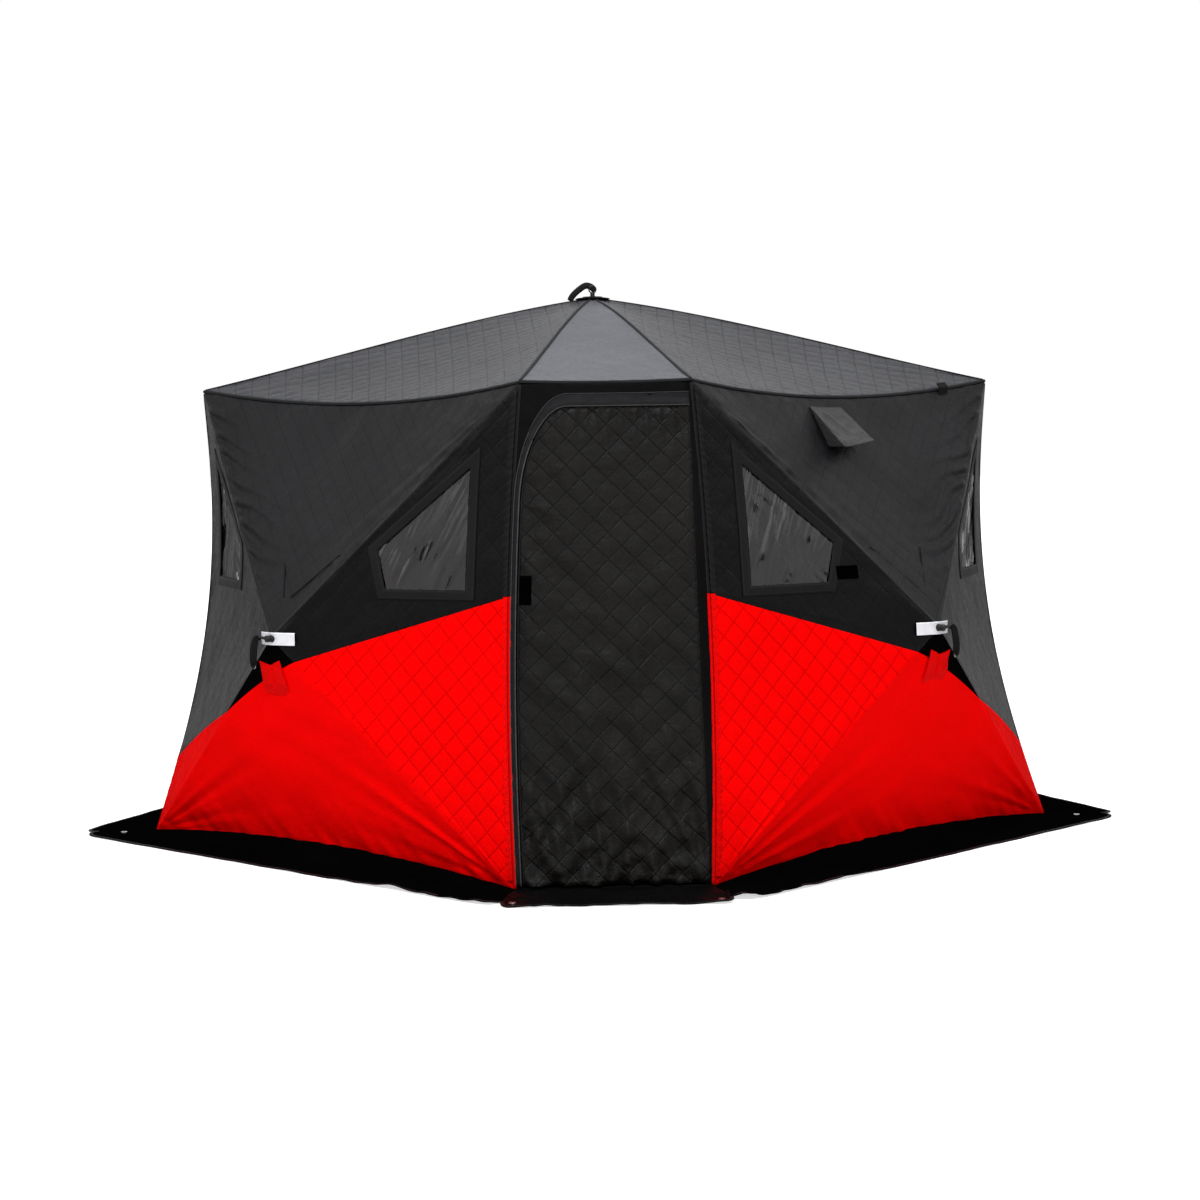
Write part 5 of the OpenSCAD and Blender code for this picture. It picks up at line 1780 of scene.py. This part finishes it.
# %% Ribbons and blind keeps
patches, keeps = [], []
for k in range(4):
    side = -MIRROR[k]
    path, out = eave_path(k, 90)
    spot = int(45 + side * 30)
    middle, down = path[spot], np.array([0, 0, -1.0])
    along = unit(path[spot + 2] - path[spot - 2])
    grid = np.stack(np.meshgrid(np.linspace(-0.028, 0.028, 9), np.linspace(-0.022, 0.036, 11),
        indexing="ij"), -1)
    lean = 0.35 * grid[..., 1:2] * side
    turn = wall_turn(k)
    face = np.array([math.sin(turn), -math.cos(turn), 0.3])
    bulge = 0.012 + 0.010 * np.exp(-((grid[..., 1:2] / 0.012) ** 2))
    points = middle + along * (grid[..., :1] + lean) + down * grid[..., 1:2] + face * bulge
    patches.append((points, grid, None, 0))
    flat = lattice(np.array([[[-0.43, 1.078], [-0.43, 1.128]], [[-0.335, 1.078], [-0.335, 1.128]]]),
        [12], [7])
    flat = flat * np.array([side, 1.0])
    keeps.append((push_out(k, on_wall(k, SIDE, flat), 0 * flat[..., 0] + 0.0035), flat, None, 0))
ribbons = surface("eave_ribbons", patches, "shelter", WEBBING, away)
thicken(ribbons, 0.0020)
declare(ribbons, width=0.04)
blind_keeps = surface("blind_keeps", keeps, "shelter", PILE, away)
thicken(blind_keeps, 0.0026)
declare(blind_keeps, width=0.05)

# %% [markdown]
# ## The top of the roof
# The centre bolt ends in a steel ring, and a loop of webbing through it is
# pulled to pop the roof up. A round patch of cloth covers the bolt's washer.

# %% Lifting loop and patch
ring_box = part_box("roof_ring")
ring_top = ring_box[1].z
loop = curve([
    (0.010, ring_top - 0.020), (-0.006, ring_top - 0.004), (-0.030, ring_top + 0.001),
    (-0.058, ring_top - 0.016), (-0.084, ring_top - 0.040), (-0.098, ring_top - 0.062)], 30)
patches = []
for layer, shift in ((0, 0.0), (1, -0.0045)):
    path = np.stack([CENTRE.x + loop[:, 0], CENTRE.y + 0 * loop[:, 0], loop[:, 1] + shift], -1)
    out = np.tile([0.0, -1.0, 0.35], (len(loop), 1))
    patches.append(tape_patch(path + [0, 0.006 * layer, 0], out, 0.024, 0.0010))
lift_loop = surface("lifting_loop", patches, "shelter", WEBBING, away)
thicken(lift_loop, 0.0028)
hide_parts("roof_strap")
declare(lift_loop, width=0.024)

turn = np.append(np.linspace(0, 2 * math.pi, 48, endpoint=False), 0.0)[None, :]
size = np.linspace(0, 0.075, 12)[:, None]
x, y = size * np.cos(turn), size * np.sin(turn)
z = APEX_H + 0.010 - 0.17 * size + 0.0012 * np.sin(9 * turn) * smooth(0.03, 0.07, size)
patch_points = np.stack([CENTRE.x + x, CENTRE.y + y, z], -1)
apex_patch = surface("apex_patch", [(patch_points, np.stack([x, y], -1), None, 0)], "shelter",
    PLAIN_BLACK, above)
thicken(apex_patch, 0.0030)
declare(apex_patch, (0.15, 0.15))

# %% [markdown]
# ## The frame's own parts
# Poles, hubs, sockets, feet, eyelets and the ring keep their CAD shape, because
# it is already right. They only get their finish here.

# %% Finish the frame's parts
FINISH = {
    "roof_poles": ROD, "roof_hub": PLASTIC, "roof_cap": PLASTIC, "roof_ring": DARK_STEEL,
    "wall_hubs": PLASTIC,
    "eave_sockets": PLASTIC, "base_feet": PLASTIC, "skirt_eyelets": BRASS}
FINISH.update({"poles_" + name: ROD for name in WALLS})


def finish_node(name, material):
    """Gives every mesh of one CAD node a single finish."""
    found = frame["nodes"][name]
    for thing in found if isinstance(found, (list, tuple)) else [found]:
        slots = thing.material_slots
        if not slots:
            thing.data.materials.append(material)
        for slot in slots:
            slot.material = material


for name, material in FINISH.items():
    finish_node(name, material)
print("finished nodes", len(FINISH))

# %% [markdown]
# ## Floor, backdrop and light
# A pale floor carries the hut's soft shadow. The world is white to the camera,
# in reflections and through the windows, and weaker as light. A broad key lamp
# hangs over the front, a second stands before it at a lower height, one hangs
# over the roof, and a small one stands at each side. Together they give a plain
# level, so a cloth looks much as its colour is written. The black cloths are
# the exception: their colour is almost nothing, and their gloss shows instead.

# %% Stage and light


FADE_FROM, FADE_TO = 3.6, 9.0
FLOOR_HALF = 60.0


def stage_material():
    """Pale matt floor that fades to white, for the camera, with distance from the hut."""
    r = Recipe("pale stage")
    r.set(Base_Color=(0.86, 0.86, 0.86, 1), Roughness=0.9, Specular_IOR_Level=0.1)
    seen = r.add("ShaderNodeLightPath").outputs["Is Camera Ray"]
    glow = r.add("ShaderNodeEmission")
    apart = r.add("ShaderNodeVectorMath", operation="LENGTH")
    r.join(r.place(), apart.inputs[0])
    level = r.remap(apart.outputs["Value"], FADE_FROM, FADE_TO, 0.62, 1.4)
    r.join(r.math("MULTIPLY", seen, level), glow.inputs["Strength"])
    blend = r.add("ShaderNodeAddShader")
    r.join(r.shader.outputs[0], blend.inputs[0])
    r.join(glow.outputs[0], blend.inputs[1])
    r.join(blend.outputs[0], r.out.inputs["Surface"])
    return r.material


def stage_floor():
    """One large flat square at ground level, marked as stage."""
    mesh = bpy.data.meshes.new("stage_floor")
    size = FLOOR_HALF
    mesh.from_pydata([(-size, -size, 0), (size, -size, 0), (size, size, 0), (-size, size, 0)], [],
        [(0, 1, 2, 3)])
    mesh.materials.append(stage_material())
    floor = bpy.data.objects.new("stage_floor", mesh)
    bpy.context.scene.collection.objects.link(floor)
    return floor


def lamp(name, at, target, size, watts, tint=(1, 1, 1)):
    """Rectangular lamp at one point, turned to face another."""
    data = bpy.data.lights.new(name, "AREA")
    data.shape = "RECTANGLE"
    data.size, data.size_y = size
    data.energy = watts
    data.color = tint
    thing = bpy.data.objects.new(name, data)
    thing.location = at
    thing.rotation_euler = (Vector(target) - Vector(at)).to_track_quat("-Z", "Y").to_euler()
    bpy.context.scene.collection.objects.link(thing)
    return thing


def light_world(level):
    """White to the camera, in reflections and through clear sheets, softer as light."""
    world = bpy.data.worlds.new("studio")
    world.use_nodes = True
    tree = world.node_tree
    back = tree.nodes["Background"]
    back.inputs["Color"].default_value = WHITE
    path = tree.nodes.new("ShaderNodeLightPath")
    seen = path.outputs["Is Camera Ray"]
    for name in ("Is Glossy Ray", "Is Transmission Ray"):
        most = tree.nodes.new("ShaderNodeMath")
        most.operation = "MAXIMUM"
        tree.links.new(seen, most.inputs[0])
        tree.links.new(path.outputs[name], most.inputs[1])
        seen = most.outputs[0]
    choose = tree.nodes.new("ShaderNodeMapRange")
    choose.inputs["To Min"].default_value = level
    choose.inputs["To Max"].default_value = 1.0
    tree.links.new(seen, choose.inputs["Value"])
    tree.links.new(choose.outputs[0], back.inputs["Strength"])
    bpy.context.scene.world = world


floor = stage_floor()
light_world(0.15)
lamp("lamp_key", (-1.2, -6.2, 8.2), (0, -0.4, 0.8), (4.0, 2.4), 650, (0.95, 0.97, 1.0))
lamp("lamp_front", (0.8, -10.5, 3.2), (0, 0, 0.8), (5, 3), 215)
lamp("lamp_top", (0.8, 0.6, 8.0), (0, 0, 1.2), (4.0, 4.0), 265, (0.96, 0.98, 1.0))
lamp("lamp_rim_left", (-6.2, -2.8, 6.0), (-0.6, -0.6, 1.4), (1.8, 1.8), 190, (0.95, 0.97, 1.0))
lamp("lamp_rim_right", (6.2, -2.8, 6.0), (0.6, -0.6, 1.4), (1.8, 1.8), 190, (0.95, 0.97, 1.0))
bpy.context.scene.view_settings.view_transform = "Standard"
